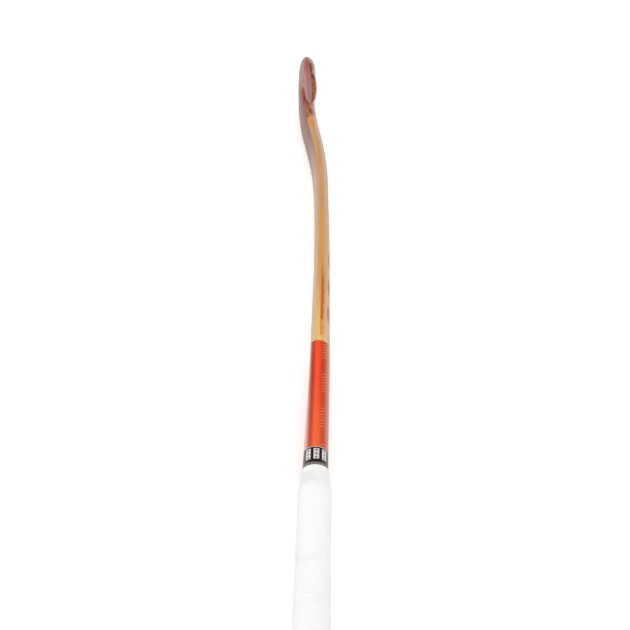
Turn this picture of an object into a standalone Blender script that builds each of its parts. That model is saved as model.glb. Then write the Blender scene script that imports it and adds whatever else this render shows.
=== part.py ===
"""Indoor field hockey stick of laminated mulberry with a spliced cane handle.

The stick lies along +Y with the middle of its butt at the origin. The toe of
the head points up (+Z) and the flat playing face looks towards -X. Every
length is in metres.

A place on the head and shaft is found in three steps: s runs along the centre
line from the butt, round the hook and into the toe, u runs across the blade
from the heel side (-) to the toe side (+), and x is the depth, face (-) to
back (+). The bow of the stick is then added to x.
"""
import math

import bmesh
import bpy
from mathutils import Vector

# Overall lengths along the stick
STICK_LENGTH = 0.927
GRIP_LENGTH = 0.277
BAND_END = 0.4445
LABEL_HEIGHT = 0.0192
RING_HEIGHT = 0.0036

# Cross-section of the handle, the shaft and the head
HANDLE_WIDTH = 0.0300
HANDLE_THICKNESS = 0.0262
HANDLE_CORNER_SHARE = 0.84
SHAFT_THICKNESS = 0.0165
SHAFT_THINNING = 1.35
HEAD_WIDTH = 0.0450
HEAD_WIDE_FROM = 0.800
HEAD_THICKNESS = 0.0204
TOE_THICKNESS = 0.0139
FACE_SHARE = 0.42
SHAFT_FACE_CORNER = 0.0075
HEAD_FACE_CORNER = 0.0143
BACK_CORNER_SHARE = 0.84

# The hook of the head, seen from its face
HOOK_CENTRE_RADIUS = 0.0325
HOOK_EASE = 0.22
TOE_STRAIGHT = 0.016
TOE_ROUND = 0.021
TOE_THINS_FROM = 0.6

# The bow: where its slope towards the face changes, and by how much
EASY_BOW_START = 0.530
BOW_START = 0.693
BOW_STEEPEST = 0.830
BOW_SETTLED = 0.868
EASY_SLOPE = 0.029
BEND_SLOPE = 0.171
HEAD_SLOPE = 0.085

# Laminations of the head, and where the bare wood of the edges begins
LAMINATIONS = 6
GLUE_GAP = 0.0003
SKIN_THICKNESS = 0.0007
SHAFT_FACE_PAINT_EDGE = math.radians(56.0)
TOE_FACE_PAINT_EDGE = math.radians(82.0)
BACK_PAINT_EDGE = math.radians(50.0)

# V splice of the cane handle into the head, between the grip and the sleeve's end
SPLICE_PAST_GRIP = 0.0250
SPLICE_TIP_COVER = 0.0205
SPLICE_TOP = GRIP_LENGTH + SPLICE_PAST_GRIP
SPLICE_TIP = BAND_END - SPLICE_TIP_COVER
SPLICE_LEG = 0.0022
SPLICE_TIP_HALF = 0.0026
RUBBER_THICKNESS = 0.0015
CANE_EDGE_SHARE = 0.96

# Sleeves over the splice
PRINT_FILM = 0.0004
BINDING = 0.0005
BINDING_MARGIN = 0.004

# Grip and butt
TAPE_PITCH = 0.0362
TAPE_EDGE_ON_FACE = 0.2435
TAPE_THICKNESS = 0.0020
TAPE_END_THICKNESS = 0.0010
TAPE_RIDGE = 0.0005
CUSHION_SWELL = 0.0020
CUSHION_END = 0.0007
CUSHION_STOPS_SHORT = 0.005
GRIP_TAPER = 0.0175
BUTT_FLARE = 0.0016
BUTT_FLARE_LENGTH = 0.200
CAP_FLOOR = 0.0042
CAP_SKIRT = 0.020
CAP_EDGE_ROUND = 0.0024

# How finely the curves are followed
RIGHT_ANGLE = math.pi / 2
SHARP_EDGE = math.radians(32.0)
SHAFT_STEP = 0.026
BEND_STEP = 0.0125
HOOK_STEPS = 16
HOOK_INTEGRATION_STEPS = 360
TOE_STEPS = 10
SPLICE_STEPS = 5
CANE_STEPS = 6
FLARE_STEPS = 3
TAPER_STEPS = 5
CAP_EDGE_STEPS = 4
LOOP_STEP = math.radians(15.0)

# Where points stand along a corner, across a cane's face and up one turn of tape
FACE_SHARES = (0.0, 0.4, 0.72, 1.0)
BACK_SHARES = (0.0, 0.25, 0.6, 1.0)
CANE_SHARES = (1.0, 0.9, 0.72, 0.45, 0.0)
TAPE_ROWS = (0.0, 0.02, 0.2, 0.4, 0.6, 0.8)
RIDGE_FADES_BY = 0.4

# How far the cutters reach past the wood, and the run of a step in the cane
CUTTER_REACH = 0.040
SAW_OVERRUN = 0.006
SHOULDER_RUN = 0.00003

# Depth of the cane and wood under the sleeves
CORE_INSET = PRINT_FILM + GLUE_GAP + BINDING + GLUE_GAP


def ease(t):
    """Smooth step from 0 to 1."""
    t = min(max(t, 0.0), 1.0)
    return t * t * (3.0 - 2.0 * t)


def eased_run(t):
    """Area under ease() from 0 to t, for t past 1 too."""
    if t <= 0.0:
        return 0.0
    if t >= 1.0:
        return 0.5 + (t - 1.0)
    return t ** 3 - 0.5 * t ** 4


def mix(a, b, t):
    """Value between a and b."""
    return a + (b - a) * t


def share(value, start, end):
    """How far value lies from start to end."""
    return (value - start) / (end - start)


def bow(y):
    """Offset of the stick's line towards its face at a distance from the butt."""
    bends = (
        (EASY_BOW_START, BOW_START, EASY_SLOPE),
        (BOW_START, BOW_STEEPEST, BEND_SLOPE),
        (BOW_STEEPEST, BOW_SETTLED, HEAD_SLOPE - BEND_SLOPE),
    )
    offset = 0.0
    for start, end, slope in bends:
        offset += slope * (end - start) * eased_run(share(y, start, end))
    return -offset


def hook_heading(t):
    """Heading of the hook's centre line, with less curvature at both ends."""
    return math.pi * (t - HOOK_EASE * math.sin(2.0 * math.pi * t) / (2.0 * math.pi))


def hook_line():
    """Points of the hook's centre line from its start, by the midpoint rule."""
    length = math.pi * HOOK_CENTRE_RADIUS
    step = length / HOOK_INTEGRATION_STEPS
    y = 0.0
    z = 0.0
    points = [(y, z)]
    for i in range(HOOK_INTEGRATION_STEPS):
        heading = hook_heading((i + 0.5) / HOOK_INTEGRATION_STEPS)
        y += step * math.cos(heading)
        z += step * math.sin(heading)
        points.append((y, z))
    return length, points


HOOK_LENGTH, HOOK_POINTS = hook_line()
HOOK_START = STICK_LENGTH - HEAD_WIDTH / 2 - HOOK_POINTS[HOOK_INTEGRATION_STEPS // 2][0]
HOOK_STOP = HOOK_START + HOOK_LENGTH
TOE_CENTRE = HOOK_STOP + TOE_STRAIGHT


def centre_line(s):
    """Place (y, z) and heading of the centre line at s."""
    if s <= HOOK_START:
        return s, 0.0, 0.0
    if s >= HOOK_STOP:
        y, z = HOOK_POINTS[-1]
        return HOOK_START + y - (s - HOOK_STOP), z, math.pi
    t = (s - HOOK_START) / HOOK_LENGTH
    i = min(int(t * HOOK_INTEGRATION_STEPS), HOOK_INTEGRATION_STEPS - 1)
    f = t * HOOK_INTEGRATION_STEPS - i
    y = mix(HOOK_POINTS[i][0], HOOK_POINTS[i + 1][0], f)
    z = mix(HOOK_POINTS[i][1], HOOK_POINTS[i + 1][1], f)
    return HOOK_START + y, z, hook_heading(t)


def place(s, u, x):
    """World point for a place along, across and through the stick."""
    y, z, heading = centre_line(s)
    y -= u * math.sin(heading)
    z += u * math.cos(heading)
    return Vector((x + bow(y), y, z))


def half_width(s):
    """Half the width across the blade."""
    wide = ease(share(s, GRIP_LENGTH, HEAD_WIDE_FROM))
    return mix(HANDLE_WIDTH, HEAD_WIDTH, wide) / 2


def thickness(s):
    """Thickness from the face to the back."""
    thick = min(max(share(s, BOW_START, GRIP_LENGTH), 0.0), 1.0)
    shaft = mix(SHAFT_THICKNESS, HANDLE_THICKNESS, thick ** SHAFT_THINNING)
    head = mix(shaft, HEAD_THICKNESS, ease(share(s, BOW_START, HOOK_START)))
    thins_from = mix(HOOK_START, HOOK_STOP, TOE_THINS_FROM)
    return mix(head, TOE_THICKNESS, ease(share(s, thins_from, TOE_CENTRE)))


def section_point(s, on_face, angle, inset):
    """A point of half the cross-section, as (u, x).

    The angle runs from 0, where the flat meets the rounded corner, to a right
    angle at the edge. A positive inset lies under the surface.
    """
    half = half_width(s)
    shaped = ease(share(s, GRIP_LENGTH, BAND_END))
    face_depth = thickness(s) * mix(0.5, FACE_SHARE, shaped)
    round_handle = HANDLE_CORNER_SHARE * half
    if on_face:
        corner = mix(SHAFT_FACE_CORNER, HEAD_FACE_CORNER, ease(share(s, BOW_START, HOOK_START)))
        corner = mix(round_handle, corner, shaped)
        depth = face_depth
    else:
        corner = mix(round_handle, BACK_CORNER_SHARE * half, shaped)
        depth = thickness(s) - face_depth
    u = half - inset - (corner - inset) * (1.0 - math.sin(angle))
    x = (depth - inset) * math.cos(angle)
    return u, -x if on_face else x


def section_middle(s, on_face, inset):
    """The point of the cross-section on the centre line, as (u, x)."""
    return 0.0, section_point(s, on_face, 0.0, inset)[1]


def face_paint_edge(s):
    """Angle where the face's paint ends, which is further round on the toe."""
    middle = mix(HOOK_START, HOOK_STOP, 0.5)
    return mix(SHAFT_FACE_PAINT_EDGE, TOE_FACE_PAINT_EDGE, ease(share(s, HOOK_START, middle)))


def gap_angle(s, on_face, angle):
    """Angle that leaves the glue gap along the surface of a corner."""
    degree = math.radians(1.0)
    u0, x0 = section_point(s, on_face, angle, 0.0)
    u1, x1 = section_point(s, on_face, angle - degree, 0.0)
    return degree * GLUE_GAP / math.hypot(u1 - u0, x1 - x0)


def material(name, colour, roughness, coat=0.0):
    """A plain Principled material."""
    made = bpy.data.materials.new(name)
    made.use_nodes = True
    shader = made.node_tree.nodes["Principled BSDF"]
    shader.inputs["Base Color"].default_value = (*colour, 1.0)
    shader.inputs["Roughness"].default_value = roughness
    shader.inputs["Metallic"].default_value = 0.0
    shader.inputs["Coat Weight"].default_value = coat
    return made


def finish(bm, name, made):
    """Close up a bmesh and put it in the scene as a named object."""
    bmesh.ops.remove_doubles(bm, verts=bm.verts, dist=0.00001)
    bmesh.ops.recalc_face_normals(bm, faces=bm.faces)
    mesh = bpy.data.meshes.new(name)
    bm.to_mesh(mesh)
    bm.free()
    mesh.shade_smooth()
    mesh.set_sharp_from_angle(angle=SHARP_EDGE)
    mesh.materials.append(made)
    thing = bpy.data.objects.new(name, mesh)
    bpy.context.scene.collection.objects.link(thing)
    return thing


def loft(bm, rings, closed=True):
    """Join rings of equal length with quads."""
    rows = [[bm.verts.new(point) for point in ring] for ring in rings]
    count = len(rows[0])
    last = count if closed else count - 1
    for lower, upper in zip(rows, rows[1:]):
        for i in range(last):
            j = (i + 1) % count
            bm.faces.new((lower[i], lower[j], upper[j], upper[i]))
    return rows


def head_stations(start):
    """Distances along the centre line from the start of a piece to the toe."""
    count = max(1, round((BOW_START - start) / SHAFT_STEP))
    stations = [mix(start, BOW_START, i / count) for i in range(count)]
    count = max(1, round((HOOK_START - BOW_START) / BEND_STEP))
    stations += [mix(BOW_START, HOOK_START, i / count) for i in range(count)]
    stations += [HOOK_START + HOOK_LENGTH * i / HOOK_STEPS for i in range(HOOK_STEPS + 1)]
    stations.append(TOE_CENTRE)
    return stations


def splice_stations():
    """Distances along the splice, shared by the wood and the sleeves on it."""
    return [mix(SPLICE_TOP, BAND_END, i / SPLICE_STEPS) for i in range(1, SPLICE_STEPS)]


def hook_columns(count):
    """Where each ring of a piece that goes round the toe stands.

    The rings go down the heel side, round the toe and back up the toe side.
    Each is a station's number and an angle, a right angle along both sides.
    """
    columns = [(index, -RIGHT_ANGLE) for index in range(count)]
    for i in range(1, TOE_STEPS):
        columns.append((count - 1, math.pi * i / TOE_STEPS - RIGHT_ANGLE))
    columns += [(index, RIGHT_ANGLE) for index in reversed(range(count))]
    return columns


def hook_solid(name, stations, ring_at, made):
    """A closed piece that follows the blade and its rounded toe.

    ring_at gives the half cross-section at a station and its number, from one
    point on the centre line to another.
    """
    bm = bmesh.new()
    stretch = TOE_ROUND / half_width(TOE_CENTRE)
    rings = []
    for index, angle in hook_columns(len(stations)):
        s = stations[index]
        along = stretch * math.cos(angle) if abs(angle) < RIGHT_ANGLE else 0.0
        ring = ring_at(s, index)
        rings.append([place(s + u * along, u * math.sin(angle), x) for u, x in ring])
    rows = loft(bm, rings, closed=False)
    bm.faces.new(rows[0])
    bm.faces.new(rows[-1])
    return finish(bm, name, made)


def blank_ring(s, bare_depth, skin_depth):
    """Half cross-section of the wood, bare at the edge and sunk under the skins.

    The step from one depth to the other leans away from the skin.
    """
    face = face_paint_edge(s)
    back = BACK_PAINT_EDGE
    face_lean = gap_angle(s, True, face) / 2
    back_lean = gap_angle(s, False, back) / 2
    ring = [section_middle(s, True, skin_depth)]
    ring += [section_point(s, True, face * f, skin_depth) for f in FACE_SHARES]
    for angle in (face + face_lean, mix(face, RIGHT_ANGLE, 0.5), RIGHT_ANGLE):
        ring.append(section_point(s, True, angle, bare_depth))
    for angle in (mix(RIGHT_ANGLE, back, 0.5), back + back_lean):
        ring.append(section_point(s, False, angle, bare_depth))
    ring += [section_point(s, False, back * f, skin_depth) for f in reversed(BACK_SHARES)]
    ring.append(section_middle(s, False, skin_depth))
    return ring


def wood_blank():
    """The whole laminated blank, before it is sawn into its laminations."""
    splice = [SPLICE_TOP + GLUE_GAP] + splice_stations()
    shoulder = BAND_END + GLUE_GAP
    head = head_stations(shoulder)
    stations = splice + [shoulder] + head
    under_sleeves = len(splice) + 1

    def ring_at(s, index):
        if index < under_sleeves:
            return blank_ring(s, CORE_INSET, CORE_INSET)
        return blank_ring(s, 0.0, SKIN_THICKNESS + GLUE_GAP)

    return hook_solid("blank", stations, ring_at, None)


def hidden_cutter(thing):
    """Keep a cutter out of the picture."""
    thing.hide_render = True
    thing.display_type = "WIRE"
    return thing


def lamination_cutter(index):
    """A bent strip, wide in x, that takes one lamination out of the blank."""
    inner_half = LAMINATIONS / 2
    low = (index - inner_half) / inner_half
    high = (index + 1 - inner_half) / inner_half
    bm = bmesh.new()
    rings = []
    stations = [SPLICE_TOP - CUTTER_REACH] + head_stations(SPLICE_TOP)
    stations.append(TOE_CENTRE + TOE_ROUND + CUTTER_REACH)
    for s in stations:
        half = half_width(s)
        u_low = low * half + GLUE_GAP / 2
        u_high = high * half - GLUE_GAP / 2
        if index == 0:
            u_low -= SAW_OVERRUN
        if index == LAMINATIONS - 1:
            u_high += SAW_OVERRUN
        corners = ((u_low, -CUTTER_REACH), (u_high, -CUTTER_REACH))
        corners += ((u_high, CUTTER_REACH), (u_low, CUTTER_REACH))
        rings.append([place(s, u, x) for u, x in corners])
    rows = loft(bm, rings)
    bm.faces.new(rows[0])
    bm.faces.new(rows[-1])
    return hidden_cutter(finish(bm, f"lamination_cutter_{index + 1}", None))


def wedge_half(y):
    """Half the width of the cane wedge in the splice."""
    top = half_width(SPLICE_TOP) - CORE_INSET - SPLICE_LEG
    return mix(top, SPLICE_TIP_HALF, share(y, SPLICE_TOP, SPLICE_TIP))


def splice_cutter():
    """The V cut in the blank, with the glue gap round the wedge."""
    bm = bmesh.new()
    start = SPLICE_TOP - CUTTER_REACH
    end = SPLICE_TIP + GLUE_GAP
    rings = []
    for x in (-CUTTER_REACH, CUTTER_REACH):
        ring = []
        for y, side in ((start, -1), (end, -1), (end, 1), (start, 1)):
            ring.append(Vector((x, y, side * (wedge_half(y) + GLUE_GAP))))
        rings.append(ring)
    rows = loft(bm, rings)
    bm.faces.new(rows[0])
    bm.faces.new(rows[-1])
    return hidden_cutter(finish(bm, "splice_cutter", None))


def cut(thing, operation, cutter):
    """Add an exact Boolean."""
    boolean = thing.modifiers.new(cutter.name, "BOOLEAN")
    boolean.operation = operation
    boolean.solver = "EXACT"
    boolean.object = cutter


def make_laminations():
    """Saw the blank into its bent laminations, heel side first."""
    wood = material("mulberry", (0.62, 0.36, 0.15), 0.3, 0.6)
    blank = hidden_cutter(wood_blank())
    splice = splice_cutter()
    for index in range(LAMINATIONS):
        name = f"lamination_{index + 1}"
        if index == 0:
            name = "lamination_1_heel"
        if index == LAMINATIONS - 1:
            name = f"lamination_{LAMINATIONS}_throat"
        mesh = blank.data.copy()
        mesh.materials.clear()
        mesh.materials.append(wood)
        thing = bpy.data.objects.new(name, mesh)
        bpy.context.scene.collection.objects.link(thing)
        cut(thing, "DIFFERENCE", splice)
        cut(thing, "INTERSECT", lamination_cutter(index))


def skin_ring(s, on_face, edge):
    """Half cross-section of a skin, outer surface then inner surface."""
    last = edge - gap_angle(s, on_face, edge)
    shares = FACE_SHARES if on_face else BACK_SHARES
    ring = [section_middle(s, on_face, 0.0)]
    ring += [section_point(s, on_face, last * f, 0.0) for f in shares]
    ring += [section_point(s, on_face, last * f, SKIN_THICKNESS) for f in reversed(shares)]
    ring.append(section_middle(s, on_face, SKIN_THICKNESS))
    return ring


def make_skins():
    """The painted glass-fibre skins on the flat face and the rounded back."""
    stations = head_stations(BAND_END + GLUE_GAP)
    paint = material("face_lacquer", (0.42, 0.33, 0.30), 0.25, 0.8)
    hook_solid("face_skin", stations, lambda s, _: skin_ring(s, True, face_paint_edge(s)), paint)
    paint = material("back_lacquer", (0.45, 0.36, 0.32), 0.25, 0.8)
    hook_solid("back_skin", stations, lambda s, _: skin_ring(s, False, BACK_PAINT_EDGE), paint)


def section_loop(s):
    """Angles of the whole cross-section, as (side, on_face, angle)."""
    count = round(RIGHT_ANGLE / LOOP_STEP)
    half = [(True, LOOP_STEP * i) for i in range(count + 1)]
    half += [(False, LOOP_STEP * i) for i in range(count - 1, -1, -1)]
    loop = [(1, on_face, angle) for on_face, angle in half]
    loop += [(-1, on_face, angle) for on_face, angle in reversed(half)]
    return loop


def loop_point(s, step, inset):
    """A point on a loop round the handle."""
    side, on_face, angle = step
    u, x = section_point(s, on_face, angle, inset)
    return place(s, side * u, x)


def loop_ring(s, inset):
    """A closed loop round the handle, the same depth all round."""
    return [loop_point(s, step, inset) for step in section_loop(s)]


def sleeve(name, stations, outer, inner, made):
    """A thin tube round the handle between two depths."""
    bm = bmesh.new()
    rings = [loop_ring(s, outer) for s in stations]
    rings += [loop_ring(s, inner) for s in reversed(stations)]
    rings.append(rings[0])
    loft(bm, rings)
    return finish(bm, name, made)


def make_sleeves():
    """The binding over the splice, and the printed films and tape over it."""
    ring_start = GRIP_LENGTH + GLUE_GAP
    ring_end = ring_start + RING_HEIGHT
    label_start = ring_end + GLUE_GAP
    label_end = label_start + LABEL_HEIGHT
    band_start = label_end + GLUE_GAP
    bound = PRINT_FILM + GLUE_GAP
    thread = material("binding_thread", (0.75, 0.72, 0.66), 0.7)
    along = [ring_start, band_start] + splice_stations() + [BAND_END - BINDING_MARGIN]
    along = sorted(s for s in along if s >= ring_start)
    sleeve("splice_binding", along, bound, bound + BINDING, thread)
    film = material("printed_film", (0.80, 0.10, 0.02), 0.3, 0.5)
    along = [band_start] + [s for s in splice_stations() if s > band_start] + [BAND_END]
    sleeve("printed_band", along, 0.0, PRINT_FILM, film)
    black = material("label_film", (0.02, 0.015, 0.015), 0.35, 0.3)
    sleeve("label_band", [label_start, label_end], 0.0, PRINT_FILM, black)
    pale = material("finishing_tape", (0.62, 0.58, 0.56), 0.5)
    sleeve("finishing_tape", [ring_start, ring_end], 0.0, PRINT_FILM, pale)


def cane_start():
    """Where the cane and rubber begin, just inside the butt cap."""
    return CAP_FLOOR + GLUE_GAP


def cane_reach(s):
    """How far the cane and rubber reach from the centre line across the blade."""
    if s < SPLICE_TOP:
        return CANE_EDGE_SHARE * (half_width(s) - CORE_INSET)
    return wedge_half(s)


def cane_stations():
    """Distances along the cane, with a shoulder where the wedge begins."""
    wedge = [mix(SPLICE_TOP, SPLICE_TIP, i / CANE_STEPS) for i in range(CANE_STEPS + 1)]
    return [cane_start(), GRIP_LENGTH, SPLICE_TOP - SHOULDER_RUN] + wedge


def surface_depth(s, on_face, u, inset):
    """Depth of the surface at a distance from the centre line."""
    low = 0.0
    high = RIGHT_ANGLE
    for _ in range(30):
        angle = (low + high) / 2
        if section_point(s, on_face, angle, inset)[0] < u:
            low = angle
        else:
            high = angle
    return abs(section_point(s, on_face, low, inset)[1])


def cane_quarter(name, side, on_face, made):
    """One quarter of the cane handle, from the butt to the tip of the wedge."""
    bm = bmesh.new()
    near = RUBBER_THICKNESS / 2 + GLUE_GAP
    sign = -1.0 if on_face else 1.0
    rings = []
    for s in cane_stations():
        reach = cane_reach(s)
        ring = [(near, near), (reach, near)]
        for f in CANE_SHARES:
            u = mix(near, reach, f)
            ring.append((u, max(surface_depth(s, on_face, u, CORE_INSET), near + GLUE_GAP)))
        rings.append([place(s, side * u, sign * x) for u, x in ring])
    rows = loft(bm, rings)
    bm.faces.new(rows[0])
    bm.faces.new(rows[-1])
    return finish(bm, name, made)


def rubber_strip(name, corners_at, made):
    """A rubber strip between canes, given its four corners at a station."""
    bm = bmesh.new()
    rings = [[place(s, u, x) for u, x in corners_at(s)] for s in cane_stations()]
    rows = loft(bm, rings)
    bm.faces.new(rows[0])
    bm.faces.new(rows[-1])
    return finish(bm, name, made)


def make_handle_core():
    """Four canes with a wide rubber spring and two narrow ones between them."""
    cane = material("manau_cane", (0.66, 0.50, 0.28), 0.6)
    for side, side_name in ((-1, "heel"), (1, "toe")):
        for on_face, face_name in ((True, "face"), (False, "back")):
            cane_quarter(f"cane_{side_name}_{face_name}", side, on_face, cane)
    rubber = material("spring_rubber", (0.03, 0.03, 0.03), 0.8)
    half = RUBBER_THICKNESS / 2

    def wide(s):
        reach = cane_reach(s)
        return (-reach, -half), (reach, -half), (reach, half), (-reach, half)

    def narrow(on_face):
        sign = -1.0 if on_face else 1.0

        def corners(s):
            near = sign * (half + GLUE_GAP)
            far = sign * surface_depth(s, on_face, 0.0, CORE_INSET)
            return (-half, near), (half, near), (half, far), (-half, far)
        return corners

    rubber_strip("rubber_spring_wide", wide, rubber)
    rubber_strip("rubber_spring_face", narrow(True), rubber)
    rubber_strip("rubber_spring_back", narrow(False), rubber)


def taper(y):
    """From 1 along the grip to 0 at its tapered end."""
    return 1.0 - ease(share(y, GRIP_LENGTH - GRIP_TAPER, GRIP_LENGTH - CUSHION_STOPS_SHORT))


def cushion_depth(y):
    """Depth of the cushion's outer surface, negative outside the handle."""
    flare = BUTT_FLARE * (1.0 - ease(y / BUTT_FLARE_LENGTH))
    return mix(CUSHION_END, -CUSHION_SWELL - flare, taper(y))


def tape_inner(y):
    """Depth of the tape's inner surface."""
    return cushion_depth(y) - GLUE_GAP


def tape_outer(y, phase):
    """Depth of the tape's outer surface at a phase of its winding."""
    body = mix(TAPE_END_THICKNESS, TAPE_THICKNESS, taper(y))
    ridge = TAPE_RIDGE * (1.0 - ease(phase / RIDGE_FADES_BY))
    return tape_inner(y) - body - ridge * taper(y)


def grip_stations(start, end):
    """Distances along the grip, closer together at its tapered end."""
    taper_start = GRIP_LENGTH - GRIP_TAPER
    stations = [mix(start, BUTT_FLARE_LENGTH, i / FLARE_STEPS) for i in range(FLARE_STEPS + 1)]
    stations += [mix(taper_start, end, i / TAPER_STEPS) for i in range(TAPER_STEPS + 1)]
    return stations


def make_cushion():
    """The foam sleeve under the tape, tapered at its upper end."""
    foam = material("grip_foam", (0.75, 0.75, 0.74), 0.9)
    start = CAP_SKIRT + GLUE_GAP
    stations = grip_stations(start, GRIP_LENGTH - CUSHION_STOPS_SHORT)
    inner = CORE_INSET - GLUE_GAP
    bm = bmesh.new()
    rings = [loop_ring(s, cushion_depth(s)) for s in stations]
    rings += [loop_ring(s, inner) for s in (stations[-1], stations[0])]
    rings.append(rings[0])
    loft(bm, rings)
    finish(bm, "grip_cushion", foam)


def tape_end_point(y, steps, column):
    """A point of the tape's outer surface in the plane of one of its ends."""
    phase = ((y - TAPE_EDGE_ON_FACE) / TAPE_PITCH + column / len(steps)) % 1.0
    return loop_point(y, steps[column], tape_outer(y, phase))


def tape_row_point(row, steps, column):
    """A point of the tape's outer surface, on a row that follows the winding."""
    turn, place_in_turn = divmod(row, len(TAPE_ROWS))
    phase = TAPE_ROWS[place_in_turn]
    y = TAPE_EDGE_ON_FACE + TAPE_PITCH * (turn + phase - column / len(steps))
    if y <= CAP_FLOOR or y >= GRIP_LENGTH:
        return tape_end_point(min(max(y, CAP_FLOOR), GRIP_LENGTH), steps, column)
    below_edge = place_in_turn == 0
    return loop_point(y, steps[column], tape_outer(y, 1.0 if below_edge else phase))


def make_grip_tape():
    """The soft tape wound up the handle, each turn over the edge of the last."""
    white = material("grip_tape", (0.85, 0.85, 0.85), 0.75)
    steps = section_loop(CAP_FLOOR)
    count = len(steps)
    rows = len(TAPE_ROWS)
    first = math.floor((CAP_FLOOR - TAPE_EDGE_ON_FACE) / TAPE_PITCH) - 1
    last = math.ceil((GRIP_LENGTH - TAPE_EDGE_ON_FACE) / TAPE_PITCH) + 1
    bm = bmesh.new()
    grid = []
    for row in range(first * rows, last * rows + 1):
        ring = [tape_row_point(row, steps, column) for column in range(count)]
        grid.append([bm.verts.new(point) for point in ring])
    for lower in range(len(grid) - 1):
        for i in range(count):
            j = (i + 1) % count
            beside = lower if j else lower - rows
            if beside >= 0:
                bm.faces.new((grid[lower][i], grid[beside][j],
                              grid[beside + 1][j], grid[lower + 1][i]))
    rings = [[tape_end_point(CAP_FLOOR, steps, column) for column in range(count)]]
    rings += [loop_ring(s, tape_inner(s)) for s in grip_stations(CAP_FLOOR, GRIP_LENGTH)]
    rings.append([tape_end_point(GRIP_LENGTH, steps, column) for column in range(count)])
    loft(bm, rings)
    finish(bm, "grip_tape", white)


def make_butt_cap():
    """The moulded cap: a disc with a rounded edge and a skirt over the canes."""
    rubber = material("butt_rubber", (0.80, 0.80, 0.79), 0.6)
    rim = tape_outer(0.0, 0.5)
    bm = bmesh.new()
    rings = []
    for i in range(CAP_EDGE_STEPS + 1):
        angle = RIGHT_ANGLE * i / CAP_EDGE_STEPS
        y = CAP_EDGE_ROUND * (1.0 - math.cos(angle))
        rings.append(loop_ring(y, rim + CAP_EDGE_ROUND * (1.0 - math.sin(angle))))
    seat = CAP_FLOOR - GLUE_GAP
    rings.append(loop_ring(seat, rim))
    rings.append(loop_ring(seat, cushion_depth(seat)))
    rings.append(loop_ring(CAP_SKIRT, cushion_depth(CAP_SKIRT)))
    rings.append(loop_ring(CAP_SKIRT, CORE_INSET - GLUE_GAP))
    rings.append(loop_ring(CAP_FLOOR, CORE_INSET - GLUE_GAP))
    rows = loft(bm, rings)
    bm.faces.new(rows[0])
    bm.faces.new(rows[-1])
    finish(bm, "butt_cap", rubber)


def main():
    """Build the stick."""
    for thing in list(bpy.data.objects):
        bpy.data.objects.remove(thing, do_unlink=True)
    make_laminations()
    make_skins()
    make_handle_core()
    make_sleeves()
    make_cushion()
    make_grip_tape()
    make_butt_cap()


main()
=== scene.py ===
"""Studio scene of a laminated indoor hockey stick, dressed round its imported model.

The stick lies along +Y with its butt at the origin, its toe up (+Z) and its flat
playing face towards -X. Lengths are in metres.
"""
import logging
import math
from collections.abc import Callable, Sequence
from dataclasses import dataclass
from enum import Enum
from functools import cached_property

import bmesh
import bpy
from mathutils import Matrix, Vector


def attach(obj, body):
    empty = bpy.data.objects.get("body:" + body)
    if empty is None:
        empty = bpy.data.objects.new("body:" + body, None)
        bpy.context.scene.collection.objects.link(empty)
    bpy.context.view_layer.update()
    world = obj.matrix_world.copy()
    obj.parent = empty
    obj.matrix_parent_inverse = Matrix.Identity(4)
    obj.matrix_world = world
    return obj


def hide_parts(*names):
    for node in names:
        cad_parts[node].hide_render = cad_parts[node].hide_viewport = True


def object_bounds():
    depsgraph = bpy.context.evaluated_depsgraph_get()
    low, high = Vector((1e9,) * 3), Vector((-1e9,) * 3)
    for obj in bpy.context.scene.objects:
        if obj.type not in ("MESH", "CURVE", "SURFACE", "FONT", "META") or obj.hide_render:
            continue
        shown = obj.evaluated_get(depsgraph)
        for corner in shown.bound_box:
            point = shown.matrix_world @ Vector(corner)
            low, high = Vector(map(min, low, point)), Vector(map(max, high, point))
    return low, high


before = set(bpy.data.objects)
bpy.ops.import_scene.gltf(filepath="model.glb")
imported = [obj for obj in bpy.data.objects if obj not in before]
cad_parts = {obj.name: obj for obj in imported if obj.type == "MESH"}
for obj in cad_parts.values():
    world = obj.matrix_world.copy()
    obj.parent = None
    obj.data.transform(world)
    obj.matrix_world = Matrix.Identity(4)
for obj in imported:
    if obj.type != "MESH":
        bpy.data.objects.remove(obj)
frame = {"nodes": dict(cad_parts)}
CAD_LOW, CAD_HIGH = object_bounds()

LOG = logging.getLogger("stick")
BODY = "root"
RIGHT_ANGLE = math.pi / 2
MERGE = 0.000002
SHARP = math.radians(38.0)
GRAIN_SAMPLES = 260
GRAIN_BEFORE_HOOK = 0.01
GRAIN_PAST_TOE = 0.03
GRAIN_STRAIGHT_ROOM = 0.004
Triple = tuple[float, float, float]
Colour = Triple
Socket = bpy.types.NodeSocket
Thing = bpy.types.Object
Place = Callable[[int, int], Vector]


def screen(red: int, green: int, blue: int) -> Colour:
    """Linear colour of an 8-bit screen colour.

    Args:
        red: Red from 0 to 255.
        green: Green from 0 to 255.
        blue: Blue from 0 to 255.

    Returns:
        The three linear values.
    """
    values = []
    for part in (red, green, blue):
        share = part / 255.0
        values.append(share / 12.92 if share <= 0.04045 else ((share + 0.055) / 1.055) ** 2.4)
    return values[0], values[1], values[2]


def ease(t: float) -> float:
    """Smooth step from 0 to 1."""
    t = min(max(t, 0.0), 1.0)
    return t * t * (3.0 - 2.0 * t)


def eased_run(t: float) -> float:
    """Area under ease() from 0 to t, for t past 1 too.

    Args:
        t: Share of the way, which may pass 0 or 1.

    Returns:
        The area.
    """
    if t <= 0.0:
        return 0.0
    return 0.5 + (t - 1.0) if t >= 1.0 else t ** 3 - 0.5 * t ** 4


def mix(a: float, b: float, t: float) -> float:
    """Value between a and b."""
    return a + (b - a) * t


def share_of(value: float, start: float, end: float) -> float:
    """How far value lies from start to end."""
    return (value - start) / (end - start)


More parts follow.
